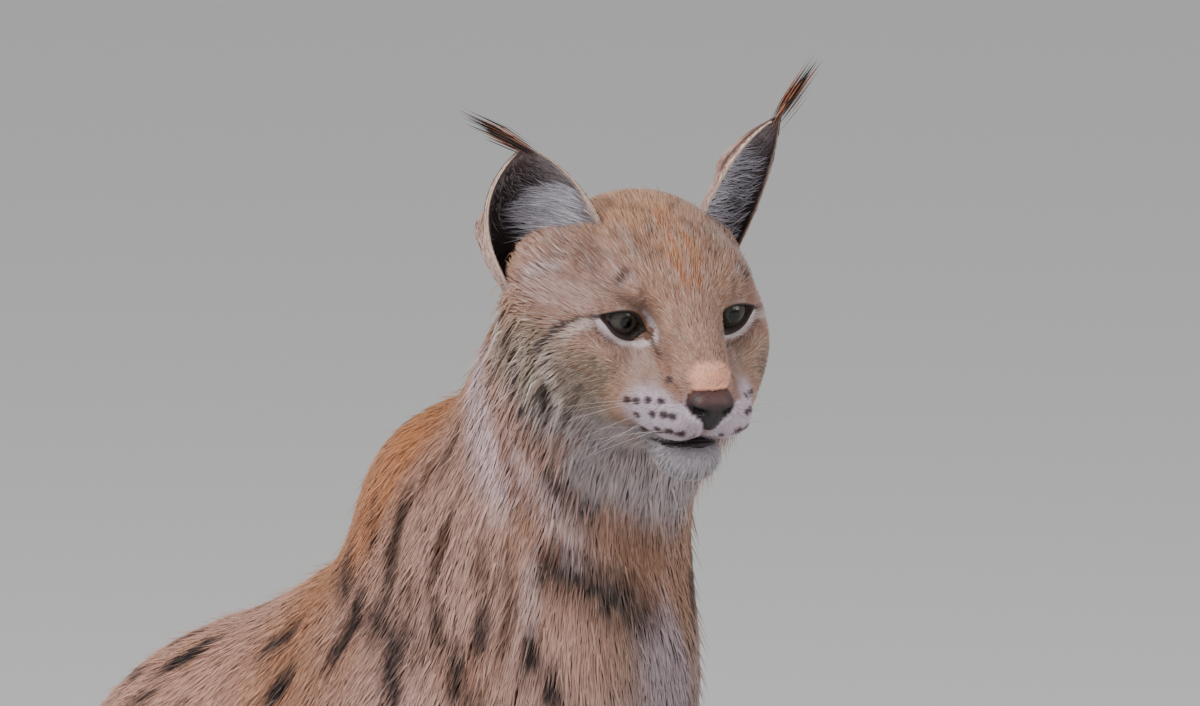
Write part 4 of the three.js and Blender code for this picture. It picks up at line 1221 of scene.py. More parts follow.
def makeEyelids(side, s):
    spokes = lids["spokes"]
    t = np.arange(spokes) / spokes
    edge = catmull(lids["opening"], t, closed=True)
    reach = catmull([(v, 0) for v in lids["reach"]], t, closed=True)[:, :1]
    outer = unit(edge - np.array(lids["middle"])) * reach
    centre = fromHead(eyeCentres[s])
    angles = np.concatenate([mix(edge, outer, share) for share, _ in lidRings])
    direction = eyeDirection(angles, s) @ headRotation.T

    def patchField(p):
        return coveredField(p) - lids["over"]

    distance = marched(patchField, centre, direction, eye["radius"], lids["farthest"])
    distance = np.maximum(distance - np.repeat([sink for _, sink in lidRings], spokes), eye["radius"] - 0.6)
    distance[:spokes] = eye["radius"] - 1.0
    points = centre + direction * distance[:, None]
    faces = ringQuads(len(lidRings), spokes)[:, ::s]
    n = unit(slopeOf(coveredField, points))
    angles, r = eyeAngles(toHead(points), s)
    past = pastOpening(angles) * math.pi / 180 * r
    rim = 1 - smooth(lids["rim"] * 0.6, lids["rim"] * 1.3, past)
    # the eyelids painted darker than the coat over them: painted shade
    colours = tinted(coatColour(points, n) * coat["barePaintedShade"], lids["tint"], rim)
    dress(addMesh("eyelids_" + side, points, faces), colours, finishes["lidHide"], "coat")
    return points, faces, n, past


lidPatches = {side: makeEyelids(side, s) for side, s in sides.items()}
print("eyelids made")


# The eyeballs: rings round the middle of the iris, with a clear bulge over it
eyeBuild = {"rings": 44, "spokes": 64, "bulge": 0.6, "bulgeEdge": (3, 10.5), "inward": -7.2, "up": 0.0,
            "deep": 118}
irisStops = [
    (0.0, (0.002, 0.002, 0.002)), (0.235, (0.003, 0.003, 0.003)), (0.265, (0.022, 0.018, 0.012)),
    (0.34, (0.040, 0.034, 0.026)), (0.52, (0.036, 0.031, 0.025)), (0.64, (0.025, 0.021, 0.018)),
    (0.70, (0.007, 0.005, 0.005)), (0.78, (0.014, 0.010, 0.009)), (0.86, (0.055, 0.036, 0.032)),
    (1.0, (0.08, 0.05, 0.045)),
]


def makeEyeWet():
    material, tree, shader = newMaterial("eyeWet")
    spread, run = stretched(tree, "eyeRun", 60.0, 7.0)
    fibre = addNoise(tree, spread, 1.0, 3.0)
    vein = addNoise(tree, ownPlace(tree), 300.0, 2.0)
    jitter = addMath(tree, "MULTIPLY", addMath(tree, "SUBTRACT", fibre, 0.5), 0.05)
    ramp = addNode(tree, "ShaderNodeValToRGB")
    stops = ramp.color_ramp.elements
    for spot, _ in irisStops[1:-1]:
        stops.new(spot)
    for stop, (spot, colour) in zip(stops, irisStops):
        stop.position = spot
        stop.color = (*colour, 1)
    tree.links.new(addMath(tree, "ADD", run, jitter), ramp.inputs["Fac"])
    factor = addMath(tree, "ADD", addMath(tree, "MULTIPLY", fibre, 0.9), 0.55)
    tree.links.new(addTint(tree, ramp.outputs["Color"], factor), shader.inputs["Base Color"])
    rough = addMath(tree, "ADD", addMath(tree, "MULTIPLY", vein, 0.05), 0.06)
    tree.links.new(rough, shader.inputs["Roughness"])
    shader.inputs["Specular IOR Level"].default_value = 0.32
    return material


eyeWet = makeEyeWet()


def makeEyeball(side, s):
    axis = eyeDirection([(eyeBuild["inward"], eyeBuild["up"])], s)[0]
    right = unit(np.cross(axis, [0, 0, 1]))
    above = np.cross(right, axis)
    rings, spokes = eyeBuild["rings"], eyeBuild["spokes"]
    off = np.radians(eyeBuild["deep"]) * (np.arange(rings) + 0.15) / (rings - 1)
    turned = 2 * math.pi * np.arange(spokes + 1) / spokes
    across = eye["radius"] * off
    r = eye["radius"] + eyeBuild["bulge"] * (1 - smooth(*eyeBuild["bulgeEdge"], across))
    around = np.cos(turned)[None, :, None] * right + np.sin(turned)[None, :, None] * above
    direction = np.cos(off)[:, None, None] * axis + np.sin(off)[:, None, None] * around
    points = (eyeCentres[s] + direction * r[:, None, None]).reshape(-1, 3)
    faces = ringQuads(rings, spokes + 1, closed=False)[:, [1, 2, 3, 0]]
    fan = np.stack([np.arange(spokes), np.arange(1, spokes + 1), np.full(spokes, len(points))], 1)
    points = np.vstack([points, eyeCentres[s] + axis * (eye["radius"] + eyeBuild["bulge"])])
    uv = np.stack([np.tile(turned / (2 * math.pi), rings), np.repeat(across / eye["radius"], spokes + 1)], 1)
    obj = addMesh("eyeball_" + side, fromHead(points), [faces, fan])
    setMap(obj, "eyeRun", np.vstack([uv, [[0.5, 0]]]))
    dress(obj, None, eyeWet, "eye", "eye_" + side)


for side, s in sides.items():
    makeEyeball(side, s)

# the nostrils and the groove are cut into the leather
nostrils = together([
    (paired(bone([73, 4.4, -36.0], [64, 8.6, -34.5], 2.2, 2.1)), 1),
    (paired(bone([70, 8.6, -34.2], [64.5, 12.2, -33], 1.5, 1.0)), 2.5),
])
philtrum = bone([71.5, 0, -33], [69.5, 0, -48], 0.5, 0.7)


def noseField(h):
    return carved(carved(leather(h), nostrils(h), 1.2), philtrum(h), 1.6)


axes = [np.arange(a, b, noseLeather["step"]) for a, b in ((46, 75), (-18, 18), (-50, -19))]
nosePoints, noseQuads = drawSurface(noseField, axes, scout=3)
nosePoints = settled(noseField, nosePoints, 1)
noseColours = np.tile(tone(*noseLeather["low"]), (len(nosePoints), 1))
noseColours = tinted(noseColours, noseLeather["top"], smooth(-35, -26, nosePoints[:, 2]))
noseColours = tinted(noseColours, noseLeather["patch"], smooth(0.4, 0.9, cloud(nosePoints, 5, 21)))
# the nostril hollows painted near black: painted shade
noseColours = tinted(noseColours, noseLeather["nostril"], smooth(1.6, 0.4, nostrils(nosePoints)))
nose = addMesh("nose_leather", fromHead(nosePoints), noseQuads)
dress(nose, noseColours, finishes["noseLeather"], "nose_leather", "nose")


# Tubes: lips, whiskers and claws
def tubeMesh(ways, radii, corners):
    # ways is (count, steps, 3); every tube is closed at both ends
    count, steps = ways.shape[:2]
    run = unit(np.gradient(ways, axis=1))
    helper = np.where(np.abs(run[..., 2:3]) > 0.9, [[[1.0, 0, 0]]], [[[0, 0, 1.0]]])
    first = unit(np.cross(run, helper))
    second = np.cross(run, first)
    angle = 2 * math.pi * np.arange(corners) / corners
    ring = np.cos(angle)[:, None] * first[:, :, None] + np.sin(angle)[:, None] * second[:, :, None]
    points = (ways[:, :, None] + ring * radii[..., None, None]).reshape(-1, 3)
    base = (np.arange(count) * steps * corners)[:, None]
    quads = (base[..., None] + ringQuads(steps, corners)[None]).reshape(-1, 4)
    end = np.arange(corners)
    return points, [quads, base + end[::-1], base + (steps - 1) * corners + end]


def painted(points, tint, seed=0, size=1, strength=0.0):
    # one tone, a little clouded
    return np.tile(tone(*tint), (len(points), 1)) * (1 + cloud(points, size, seed) * strength)[:, None]


lips = {
    "upper": {"radius": 1.5, "sink": 0.7, "drop": 0.0, "sweep": 82},
    "lower": {"radius": 2.1, "sink": 1.3, "drop": 2.3, "sweep": 50},
    "steps": 56, "tint": (46, 36, 38),
}


def lipWay(lipOf):
    sweep = np.radians(np.linspace(-lipOf["sweep"], lipOf["sweep"], lips["steps"]))
    height = np.full(lips["steps"], float(mouth["front"][1]))
    for _ in range(4):
        start = np.stack([np.full(lips["steps"], 24.0), np.zeros(lips["steps"]), height], 1)
        along = np.stack([np.cos(sweep), np.sin(sweep), np.zeros(lips["steps"])], 1)
        out = marched(coveredField, fromHead(start), along @ headRotation.T, 8, 60)
        way = start + along * (out - lipOf["sink"])[:, None]
        height = mouthHeight(way[:, 0]) - lipOf["drop"]
    way[:, 2] = height
    radii = lipOf["radius"] * (1 - 0.6 * np.abs(np.linspace(-1, 1, lips["steps"])) ** 3)
    return fromHead(way), radii


ways, radii = [np.stack(parts) for parts in zip(*[lipWay(lips[name]) for name in ("upper", "lower")])]
points, faces = tubeMesh(ways, radii, 8)
lipColours = painted(points, lips["tint"], 22, 4, 0.15)
dress(addMesh("lips", points, faces), lipColours, finishes["lipHide"], "nose_leather")
print("eyes, nose and lips made")

# The ears: cups between an inner and an outer rim that run from the head to the tip
ears = {
    "left": {
        "inner": [[-34, 28, 32], [-38, 44, 78], [-48, 74, 91]],
        "outer": [[-60, 58, -4], [-78, 93, 42], [-50, 79, 92]],
        "tuft": [-4, 25, 38], "behind": [-0.92, -0.1, 0.05], "behindLow": [-0.92, 0.2, 0], "bulge": 0.0,
        "darkFrom": 2.3, "pale": {"count": 900, "v": (-0.05, 0.62), "a": (0.02, 2.3)},
    },
    "right": {
        "inner": [[-34, -28, 32], [-36, -43, 68], [-49, -68, 80]],
        "outer": [[-64, -66, -8], [-88, -94, 36], [-53, -73, 81]],
        "tuft": [-16, -36, 19], "behind": [-0.97, 0.12, -0.1], "behindLow": [-0.94, -0.26, 0], "bulge": 0.1,
        "darkFrom": 0.5, "pale": {"count": 640, "v": (-0.05, 0.42), "a": (0.02, 1.0)},
    },
}
earBuild = {"rings": 30, "sides": 22, "low": -0.12, "thick": 1.8, "high": 95}
earTuft = {
    "long": 44, "count": 64, "wide": (0.7, 1.1), "rooted": (-3, 7), "spread": 1.5, "droop": 0.05,
    "dark": (56, 42, 38), "light": (146, 92, 70), "darkShare": 0.4,
}


def earPoints(ear, v, a, grow):
    # v runs from the head to the tip, a from the inner rim round the back to the outer one
    inner, outer = bezier(ear["inner"], v), bezier(ear["outer"], v)
    centre = (inner + outer) / 2
    half = inner - centre
    size = np.linalg.norm(half, axis=-1, keepdims=True)
    low = smooth(0.52, 0.28, v)[..., None]
    depth = size * (1.15 - 0.5 * v[..., None] + ear["bulge"] * low)
    grow = np.asarray(grow) * (1 - 0.45 * v[..., None])
    behind = unit(mix(np.array(ear["behind"], float), np.array(ear["behindLow"], float), low))
    return (
        centre
        + half * (np.cos(a)[..., None] * (1 + grow / size))
        + behind * (np.sin(a)[..., None] * (depth + grow))
    )


def earColour(ear, v, a, inside, h):
    dark = ear["darkFrom"]
    values = {
        "v": v, "a": a, "rim": np.minimum(a, math.pi - a), "deep": a + 0.5 - dark * 0.5,
        "offMiddle": np.abs(v - 0.55) / 0.3 * 0.5 + np.abs(a - 1.57) / 1.1 * 0.35,
    }
    lining = {
        "dark": ((66, 56, 60), 1, ("a", dark, dark + 0.9)),
        "tip": ((136, 112, 106), 0.6, ("v", 0.62, 0.95)),
        # the deep lower part of the cup painted darker: painted shade
        "deep": ((70, 58, 58), 1, ("v", 0.4, 0.2), ("deep", 1.6, 2.2)),
    }
    back = {
        "tip": ((72, 54, 50), 0.8, ("v", 0.6, 0.8)),
        "middle": ((198, 178, 172), 0.85, ("offMiddle", 0.62, 0.2)),
        "edge": ((70, 50, 46), 0.8, ("rim", 0.1, 0.2), ("rim", 0.42, 0.28), ("v", 0.3, 0.5)),
        "root": ((196, 168, 162), 0.8, ("v", 0.45, 0.2)),
    }
    rim = {"rim": ((222, 194, 178), 1, ("rim", 0.16, 0.06), ("v", 0.02, 0.2))}
    plain = tone(156, 144, 150) if inside else tone(178, 142, 128)
    c = addPatches(np.tile(plain, (len(v), 1)), values, (lining if inside else back) | rim)
    return c * (1 + cloud(h, 3, 23) * 0.14)[:, None]


def makeEar(side):
    ear = ears[side]
    v, a = np.meshgrid(
        np.linspace(earBuild["low"], 1, earBuild["rings"] + 1),
        np.linspace(0, math.pi, earBuild["sides"] + 1), indexing="ij",
    )
    rings, row = v.shape
    layer = rings * row
    inside, outside = [earPoints(ear, v, a, grow).reshape(-1, 3) for grow in (0, earBuild["thick"])]
    points = np.concatenate([inside, outside])
    cell = ringQuads(rings, row, closed=False)
    k = np.arange(rings - 1)
    edgeA = np.stack([k * row, (k + 1) * row, layer + (k + 1) * row, layer + k * row], 1)
    edgeB = np.stack([k * row, layer + k * row, layer + (k + 1) * row, (k + 1) * row], 1) + row - 1
    m = np.arange(row - 1)
    base = np.stack([m, layer + m, layer + m + 1, m + 1], 1)
    tip = np.stack([m, m + 1, layer + m + 1, layer + m], 1) + (rings - 1) * row
    faces = np.concatenate([cell, cell[:, ::-1] + layer, edgeA, edgeB, base, tip])
    corner = points[cell[len(cell) // 2]]
    toward = points[layer + cell[len(cell) // 2][0]] - corner[0]
    if np.cross(corner[1] - corner[0], corner[2] - corner[0]) @ toward > 0:
        faces = faces[:, ::-1]
    sheets = [(True, inside), (False, outside)]
    colours = np.concatenate([earColour(ear, v.ravel(), a.ravel(), lined, h) for lined, h in sheets])
    # the ear cups painted darker than the hair over them: painted shade
    colours = np.clip(colours * coat["barePaintedShade"], 0.002, 1)
    obj = addMesh("ear_cup_" + side, fromHead(points), faces)
    dress(obj, colours, finishes["hide"], "coat", "ear_" + side)


for side in ears:
    makeEar(side)
print("ears made")


# Tufts: each a thin closed blade of five points, or a spike of four, rooted in the skin
bladeFaces = np.array([[1, 4, 3], [2, 3, 4], [1, 2, 4], [0, 1, 3], [0, 3, 2], [0, 2, 1]])
spikeFaces = np.array([[0, 3, 2], [1, 2, 3], [0, 1, 3], [0, 2, 1]])
# Each tuft is painted darker at its root and lighter at its tip: painted shade deep in the coat, painted
# light on the tips
tuft = {"high": 0.26, "round": 0.35, "patch": 0.003, "rootShade": 0.88, "tipShade": 1.05}


def makeTufts(name, root, bend, tip, normal, wide, colour, uvRoot, rootShade=tuft["rootShade"],
              tipShade=tuft["tipShade"], slot="coat", tipColour=None):
    # root, bend and tip are the three places that a tuft runs through; bend is None for spikes
    count = len(root)
    run = unit(tip - root)
    side = unit(np.cross(normal, run)) * (wide * 0.5)[:, None]
    over = unit(np.cross(run, side)) * (wide * tuft["high"])[:, None]
    flat = side / np.maximum(wide * 0.5, 1e-6)[:, None]
    low, high, last = normal - flat * tuft["round"], normal + flat * tuft["round"], normal + run * 0.2
    if bend is None:
        faces = spikeFaces
        points = np.stack([root - side, root + side, root + over, tip], 1)
        shade = np.array([rootShade, rootShade, rootShade * 1.1, tipShade])
        across, along = np.array([0, 1, 0.5, 0.5]), np.array([0, 0, 0, 1.0])
        lean = np.stack([low, high, normal, last], 1)
    else:
        faces = bladeFaces
        points = np.stack([root, bend - side, bend + side, bend + over, tip], 1)
        shade = np.array([rootShade, 0.98, 0.98, 1.02, tipShade])
        across, along = np.array([0.5, 0, 1, 0.5, 0.5]), np.array([0, 0.45, 0.45, 0.45, 1.0])
        lean = np.stack([normal, low, high, normal, last], 1)
    points[..., 2] = np.maximum(points[..., 2], 0.4)
    # painted shading along each tuft: painted shade at the root, painted light on its raised top and at its
    # tip
    each = colour[:, None, :] * shade[None, :, None]
    if tipColour is not None:
        each[:, -1] = tipColour * tipShade
    each = each * rng.uniform(0.9, 1.1, (count, 1, 1))
    base = (np.arange(count) * points.shape[1])[:, None, None]
    obj = addMesh(name, points.reshape(-1, 3), (base + faces[None]).reshape(-1, 3), checked=False)
    patch = np.stack([across - 0.5, along - 0.5], 1) * tuft["patch"]
    setMap(obj, "OFBake", (uvRoot[:, None] + patch[None]).reshape(-1, 2))
    seeds = rng.integers(0, 400, (count, 1)) * 1.0
    setMap(obj, "hairRun", np.stack([across[None] + seeds, along[None] + seeds * 0], -1).reshape(-1, 2))
    obj.data.normals_split_custom_set_from_vertices(unit(lean).reshape(-1, 3))
    finish = finishes["shortHair" if bend is None else "longHair"]
    dress(obj, np.clip(each, 0.001, 1).reshape(-1, 3), finish, slot)
    triangles = len(faces) * count
    print(name, count, "tufts,", triangles, "triangles")
    return triangles


def unwrapped(p, a, b):
    # round the line from a to b and along it, scaled to the piece
    a, b = np.array(a, float), np.array(b, float)
    way = unit(b - a)
    d = p - a
    along = d @ way
    radial = d - along[:, None] * way
    ahead = unit(radial.mean(0))
    ahead = unit(ahead - way * (ahead @ way))
    side = np.cross(way, ahead)
    turned = np.arctan2(radial @ side, radial @ ahead)
    uv = np.stack([turned, along], 1)
    span = np.maximum(uv.max(0) - uv.min(0), 1e-6)
    return 0.01 + 0.98 * (uv - uv.min(0)) / span


def sampled(points, normals, quads, density, keep):
    # roots spread over the quads, so many to each square millimetre
    tris = np.concatenate([quads[:, [0, 1, 2]], quads[:, [0, 2, 3]]])
    tris = tris[keep[tris].all(1)]
    a, b, c = points[tris[:, 0]], points[tris[:, 1]], points[tris[:, 2]]
    area = np.linalg.norm(np.cross(b - a, c - a), axis=1) / 2
    expected = area * density((a + b + c) / 3)
    count = np.floor(expected + rng.random(len(expected))).astype(int)
    pick = np.repeat(np.arange(len(tris)), count)
    u, v = rng.random(len(pick)), rng.random(len(pick))
    flip = u + v > 1
    u[flip], v[flip] = 1 - u[flip], 1 - v[flip]
    t = tris[pick]
    w = 1 - u - v
    spot = points[t[:, 0]] * w[:, None] + points[t[:, 1]] * u[:, None] + points[t[:, 2]] * v[:, None]
    n = normals[t[:, 0]] * w[:, None] + normals[t[:, 1]] * u[:, None] + normals[t[:, 2]] * v[:, None]
    return spot, unit(n)


hair = {
    "cover": (3.5, 6.1), "faceCover": 3.3, "legCover": 2.8, "spikeUnder": 13.0, "stray": 0.03,
    "bodyWide": (0.5, 0.030), "faceWide": (0.58, 0.042), "farWider": 0.36, "vary": (0.8, 1.2),
    "varyWide": (0.85, 1.2), "loose": 0.12, "strayReach": (0.08, 0.22), "sunk": 0.7, "fewest": 30,
    "tip": (0.95, 0.9), "bend": (0.45, 0.6),  # shares of the length along the lie, and of the depth upwards
    "frost": {"tint": (214, 194, 186), "share": 0.36, "strength": (0.08, 0.42)},
    "soot": {"tint": (88, 64, 52), "share": 0.22, "strength": (0.1, 0.42)},
}
# Where no hair grows: round the eyes, on the nose and along the lips
bare = {"eyeReach": 26, "pastLids": 7, "noseGap": 0.8, "lipGap": 1.6, "under": -0.7}


def inFrame(p):
    return smooth(330, 400, p[:, 2]) * smooth(-190, -120, p[:, 0])  # where the coat is drawn finest


def hairWidth(p, long):
    head = headShare(p)
    least, slim = [mix(a, b, head) for a, b in zip(hair["bodyWide"], hair["faceWide"])]
    return (least + slim * long) * (1 + hair["farWider"] * (1 - inFrame(p)) * (1 - head))


def hairDensity(p):
    long = hairLength(p)
    wide = hairWidth(p, long)
    cover = mix(mix(*hair["cover"], inFrame(p)), hair["legCover"], smooth(14, -6, lowLegs(p)))
    cover = mix(cover, hair["faceCover"], headShare(p))
    return cover / (0.5 * long * wide)


hairy = coveredField(skinPoints) > bare["under"]
h = halfHead(skinPoints)
angles, r = eyeAngles(h, 1)
hairy &= ~((r < bare["eyeReach"]) & (pastOpening(angles) < bare["pastLids"]))
hairy &= leather(h) > bare["noseGap"]
mouthAway = np.abs(h[:, 2] - mouthHeight(h[:, 0]))
onLips = (h[:, 0] > mouth["corner"][0] - 2) & (mouthAway < bare["lipGap"])
hairy &= ~((headShare(skinPoints) > 0.5) & onLips)
roots, rootNormals = sampled(skinPoints, skinNormals, skinQuads, hairDensity, hairy)
for side, (points, faces, n, past) in lidPatches.items():
    s = sides[side]
    angles, r = eyeAngles(toHead(points), s)
    keep = (past > lids["hairFrom"]) & (pastOpening(angles) < lids["hairTo"])
    more, moreNormals = sampled(points, n, faces, hairDensity, keep)
    roots, rootNormals = np.vstack([roots, more]), np.vstack([rootNormals, moreNormals])
print("roots:", len(roots))

long = hairLength(roots) * rng.uniform(*hair["vary"], len(roots))
lie = lieAt(roots, rootNormals)
sideways = np.cross(rootNormals, lie)
lie = unit(lie + sideways * rng.normal(0, hair["loose"], len(roots))[:, None])
depth = coatDepth(roots)
wide = hairWidth(roots, long) * rng.uniform(*hair["varyWide"], len(roots))
stray = (rng.random(len(roots)) < hair["stray"]) * rng.uniform(*hair["strayReach"], len(roots)) * long
headness = headShare(roots)


def lifted(p, target):
    # moved along the root's normal until it lies so far under the coat's surface
    away = wholeField(p)
    return p + rootNormals * np.clip(target - away, -14, 14)[:, None]


def reached(along, up):
    return roots + lie * (long * along)[:, None] + rootNormals * (depth * up)[:, None]


tips = reached(*hair["tip"])
tips = lifted(tips, rng.uniform(-0.08, 0.0, len(roots)) * depth + stray + headness * 0.03 * long)
bends = reached(*hair["bend"])
bends = lifted(bends, -0.25 * depth + stray * 0.3)


def shownColour(share, where):
    # the coat's colour where this share of each hair shows: at the skin on the head, in its place on the body
    onSkin = roots + lie * (long * share)[:, None]
    return coatColour(mix(where, onSkin, headness[:, None]), rootNormals)


h = toHead(roots)
grizzled = mix(0.32, 1.25, headness) * (1 - smooth(20, 36, h[:, 0]) * smooth(-20, -32, h[:, 2]))


def flecked(kind):
    return (rng.random(len(roots)) < kind["share"]) * rng.uniform(*kind["strength"], len(roots)) * grizzled


frosted = flecked(hair["frost"])
sooty = flecked(hair["soot"]) * (0.4 + 0.6 * headness)
tuftColours, tipColours = [
    tinted(tinted(shownColour(share, where), hair["frost"]["tint"], frosted), hair["soot"]["tint"], sooty)
    for share, where in ((0.45, bends + rootNormals * (0.25 * depth)[:, None]), (0.9, tips))
]
roots = roots - rootNormals * hair["sunk"]
print("tufts laid")


def regionOf(p):
    h = toHead(p)
    left = p[:, 1] > 0
    region = np.full(len(p), "coat_flank_right", dtype="U24")
    region[left] = "coat_flank_left"
    x, y, z = p.T

    def put(mask, name, sided=True):
        region[mask & ~left] = name + ("_right" if sided else "")
        region[mask & left] = name + ("_left" if sided else "")

    put((x > -30) & (z > 300), "coat_shoulder")
    put((np.abs(y) < 62) & (x < 40) & (z > 380), "coat_back", False)
    put((x < -190) & (z > 150), "coat_rump")
    put((x < -10) & (z < 240) & (x > -330), "coat_thigh")
    put((z < 62) & (x > -260) & (x < 60) & (np.abs(y) > 70), "coat_hind_foot")
    put((x > 100) & (np.abs(y) < 56) & (z > 300), "coat_chest", False)
    put((x > 0) & (z <= 300), "coat_foreleg")
    put(z > 540, "coat_neck")
    put((tailField(p) < 4) & (z < 90), "coat_tail", False)
    head = headShare(p) > 0.5
    region[head] = "coat_crown"
    region[head & (h[:, 2] < 4) & (h[:, 1] > 0)] = "coat_cheek_left"
    region[head & (h[:, 2] < 4) & (h[:, 1] <= 0)] = "coat_cheek_right"
    region[head & (h[:, 0] > -14)] = "coat_face"
    return region


unwrapLines = {
    "coat_crown": ((-120, 0, 0), (60, 0, 0)), "coat_face": ((0, 0, 80), (0, 0, -100)),
    "coat_cheek_left": ((0, 0, 40), (0, 0, -100)), "coat_cheek_right": ((0, 0, 40), (0, 0, -100)),
    "coat_neck": ((60, 0, 500), (170, -10, 700)), "coat_chest": ((90, 0, 300), (100, 0, 560)),
    "coat_back": ((-240, 0, 240), (60, 0, 480)), "coat_flank": ((-240, 0, 200), (60, 0, 440)),
    "coat_shoulder": ((20, 0, 260), (60, 0, 600)), "coat_rump": ((-240, 0, 100), (-180, 0, 330)),
    "coat_thigh": ((-250, 90, 120), (-20, 100, 160)), "coat_hind_foot": ((-230, 114, 26), (30, 118, 18)),
    "coat_foreleg": ((60, 62, 320), (110, 60, 10)), "coat_tail": ((-340, 0, 70), (-340, -160, 24)),
}
regions = regionOf(roots)
spiky = long < hair["spikeUnder"]
triangles = 0
for name in sorted(set(regions)):
    plainName = name.replace("_left", "").replace("_right", "")
    a, b = np.array(unwrapLines.get(name, unwrapLines.get(plainName)), float)
    if name.startswith(("coat_crown", "coat_face", "coat_cheek")):
        a, b = fromHead(a), fromHead(b)
    elif name.endswith("_right"):
        a, b = a * mirror, b * mirror
    inside = regions == name
    uvs = unwrapped(roots[inside], a, b)
    for blade in (True, False):
        pick = spiky[inside] != blade
        if pick.sum() < hair["fewest"]:
            continue
        at = np.nonzero(inside)[0][pick]
        triangles += makeTufts(
            name + ("" if blade else "_short"), roots[at], bends[at] if blade else None, tips[at],
            rootNormals[at], wide[at], tuftColours[at], uvs[pick],
            slot="pale_coat" if name == "coat_chest" else "coat", tipColour=tipColours[at],
        )
print("coat:", triangles, "triangles")


# Hair of the ears, with ranges of v and a as in earPoints: how it runs, and its sizes and tones
earStrands = {
    "back": {"count": 4000, "v": (0, 1), "lower": 0.8, "a": (0.02, math.pi - 0.02), "grow": 1.8,
             "inside": False, "up": 1, "round": 0, "loose": 0.12, "long": (4, 7), "wide": (0.8, 1.3),
             "rise": 0.14},
    "lining": {"count": 2000, "v": (0.02, 0.97), "a": (0.05, math.pi - 0.05), "grow": 0, "inside": True,
               "up": 0.8, "round": 0.35, "loose": 0.2, "long": (5, 10), "wide": (0.6, 1.0), "rise": 0.15},
    "innerRim": {"count": 620, "v": (0, 1), "rim": 0, "grow": 0.9, "inside": False, "up": 0.9, "round": -0.35,
                 "loose": 0.12, "tint": (224, 196, 180), "shade": (0.85, 1.1), "long": (2.5, 4.5),
                 "wide": (0.6, 0.9), "rise": 0.05},
    "pale": {"grow": 0.2, "inside": True, "up": 0.5, "round": 0.95, "loose": 0.17, "tint": (204, 198, 208),
             "shade": (0.5, 1.15), "long": (17, 32), "taper": (1, 0.4), "wide": (0.5, 1.0), "rise": 0.2},
    "dusky": {"count": 700, "v": (0.1, 0.95), "a": (0.05, 2.6), "grow": 0.2, "inside": True, "up": 0.8,
              "round": 0.6, "loose": 0.2, "tint": (142, 128, 128), "shade": (0.4, 1.2), "long": (11, 19),
              "taper": (1.15, 0.6), "wide": (0.4, 0.8), "rise": 0.2},
}
outerRim = earStrands["innerRim"] | {"rim": math.pi, "round": 0.35}


def strandsOf(ear, kind):
    # every hair runs over the ear's own surface, from its root to a place further up and round
    count, grow = kind["count"], kind["grow"]
    v = rng.uniform(*kind["v"], count) ** kind.get("lower", 1)
    if "rim" in kind:
        a = np.abs(kind["rim"] - np.abs(rng.normal(0, 0.05, count)))
    else:
        a = rng.uniform(*kind["a"], count)
    here = earPoints(ear, v, a, grow)
    if "tint" in kind:
        colour = tone(*kind["tint"]) * rng.uniform(*kind["shade"], (count, 1))
    else:
        colour = earColour(ear, v, a, kind["inside"], here)
    most, less = kind.get("taper", (1, 0))
    long = rng.uniform(*kind["long"], count) * (most - less * v)
    wide = rng.uniform(*kind["wide"], count)
    inner, outer = bezier(ear["inner"], v), bezier(ear["outer"], v)
    radius = np.maximum(np.linalg.norm(inner - outer, axis=1) / 2, 3)
    ahead = unit(earPoints(ear, np.minimum(v + 0.02, 1.0), a, grow) - earPoints(ear, v - 0.02, a, grow))
    around = unit(earPoints(ear, v, a + 0.03, grow) - earPoints(ear, v, a - 0.03, grow))
    n = unit(np.cross(ahead, around))
    n = np.where(((here - (inner + outer) / 2) * n).sum(1, keepdims=True) < 0, -n, n)
    high = (kind["rise"] * long)[:, None]
    if kind["inside"]:
        n, high = -n, -np.minimum(high, radius[:, None] * 0.6)
    sway = rng.normal(0, kind["loose"], (count, 2))
    onV = np.clip(v + long * (kind["up"] + sway[:, 0]) / earBuild["high"], -0.1, 1)
    onA = np.clip(a + long * (kind["round"] + sway[:, 1]) / radius, 0, math.pi)
    tip = earPoints(ear, onV, onA, grow + high)
    bend = earPoints(ear, mix(v, onV, 0.45), mix(a, onA, 0.45), grow + high * 0.6)
    return here, bend, tip, n, wide, colour


def makeHeadTufts(name, root, bend, tip, n, wide, colour, line, **more):
    # places and normals in the head's frame, and the line that the tufts are unwrapped round
    root, bend, tip, line = [fromHead(np.array(part, float)) for part in (root, bend, tip, line)]
    makeTufts(name, root, bend, tip, n @ headRotation.T, wide, colour, unwrapped(root, *line), **more)


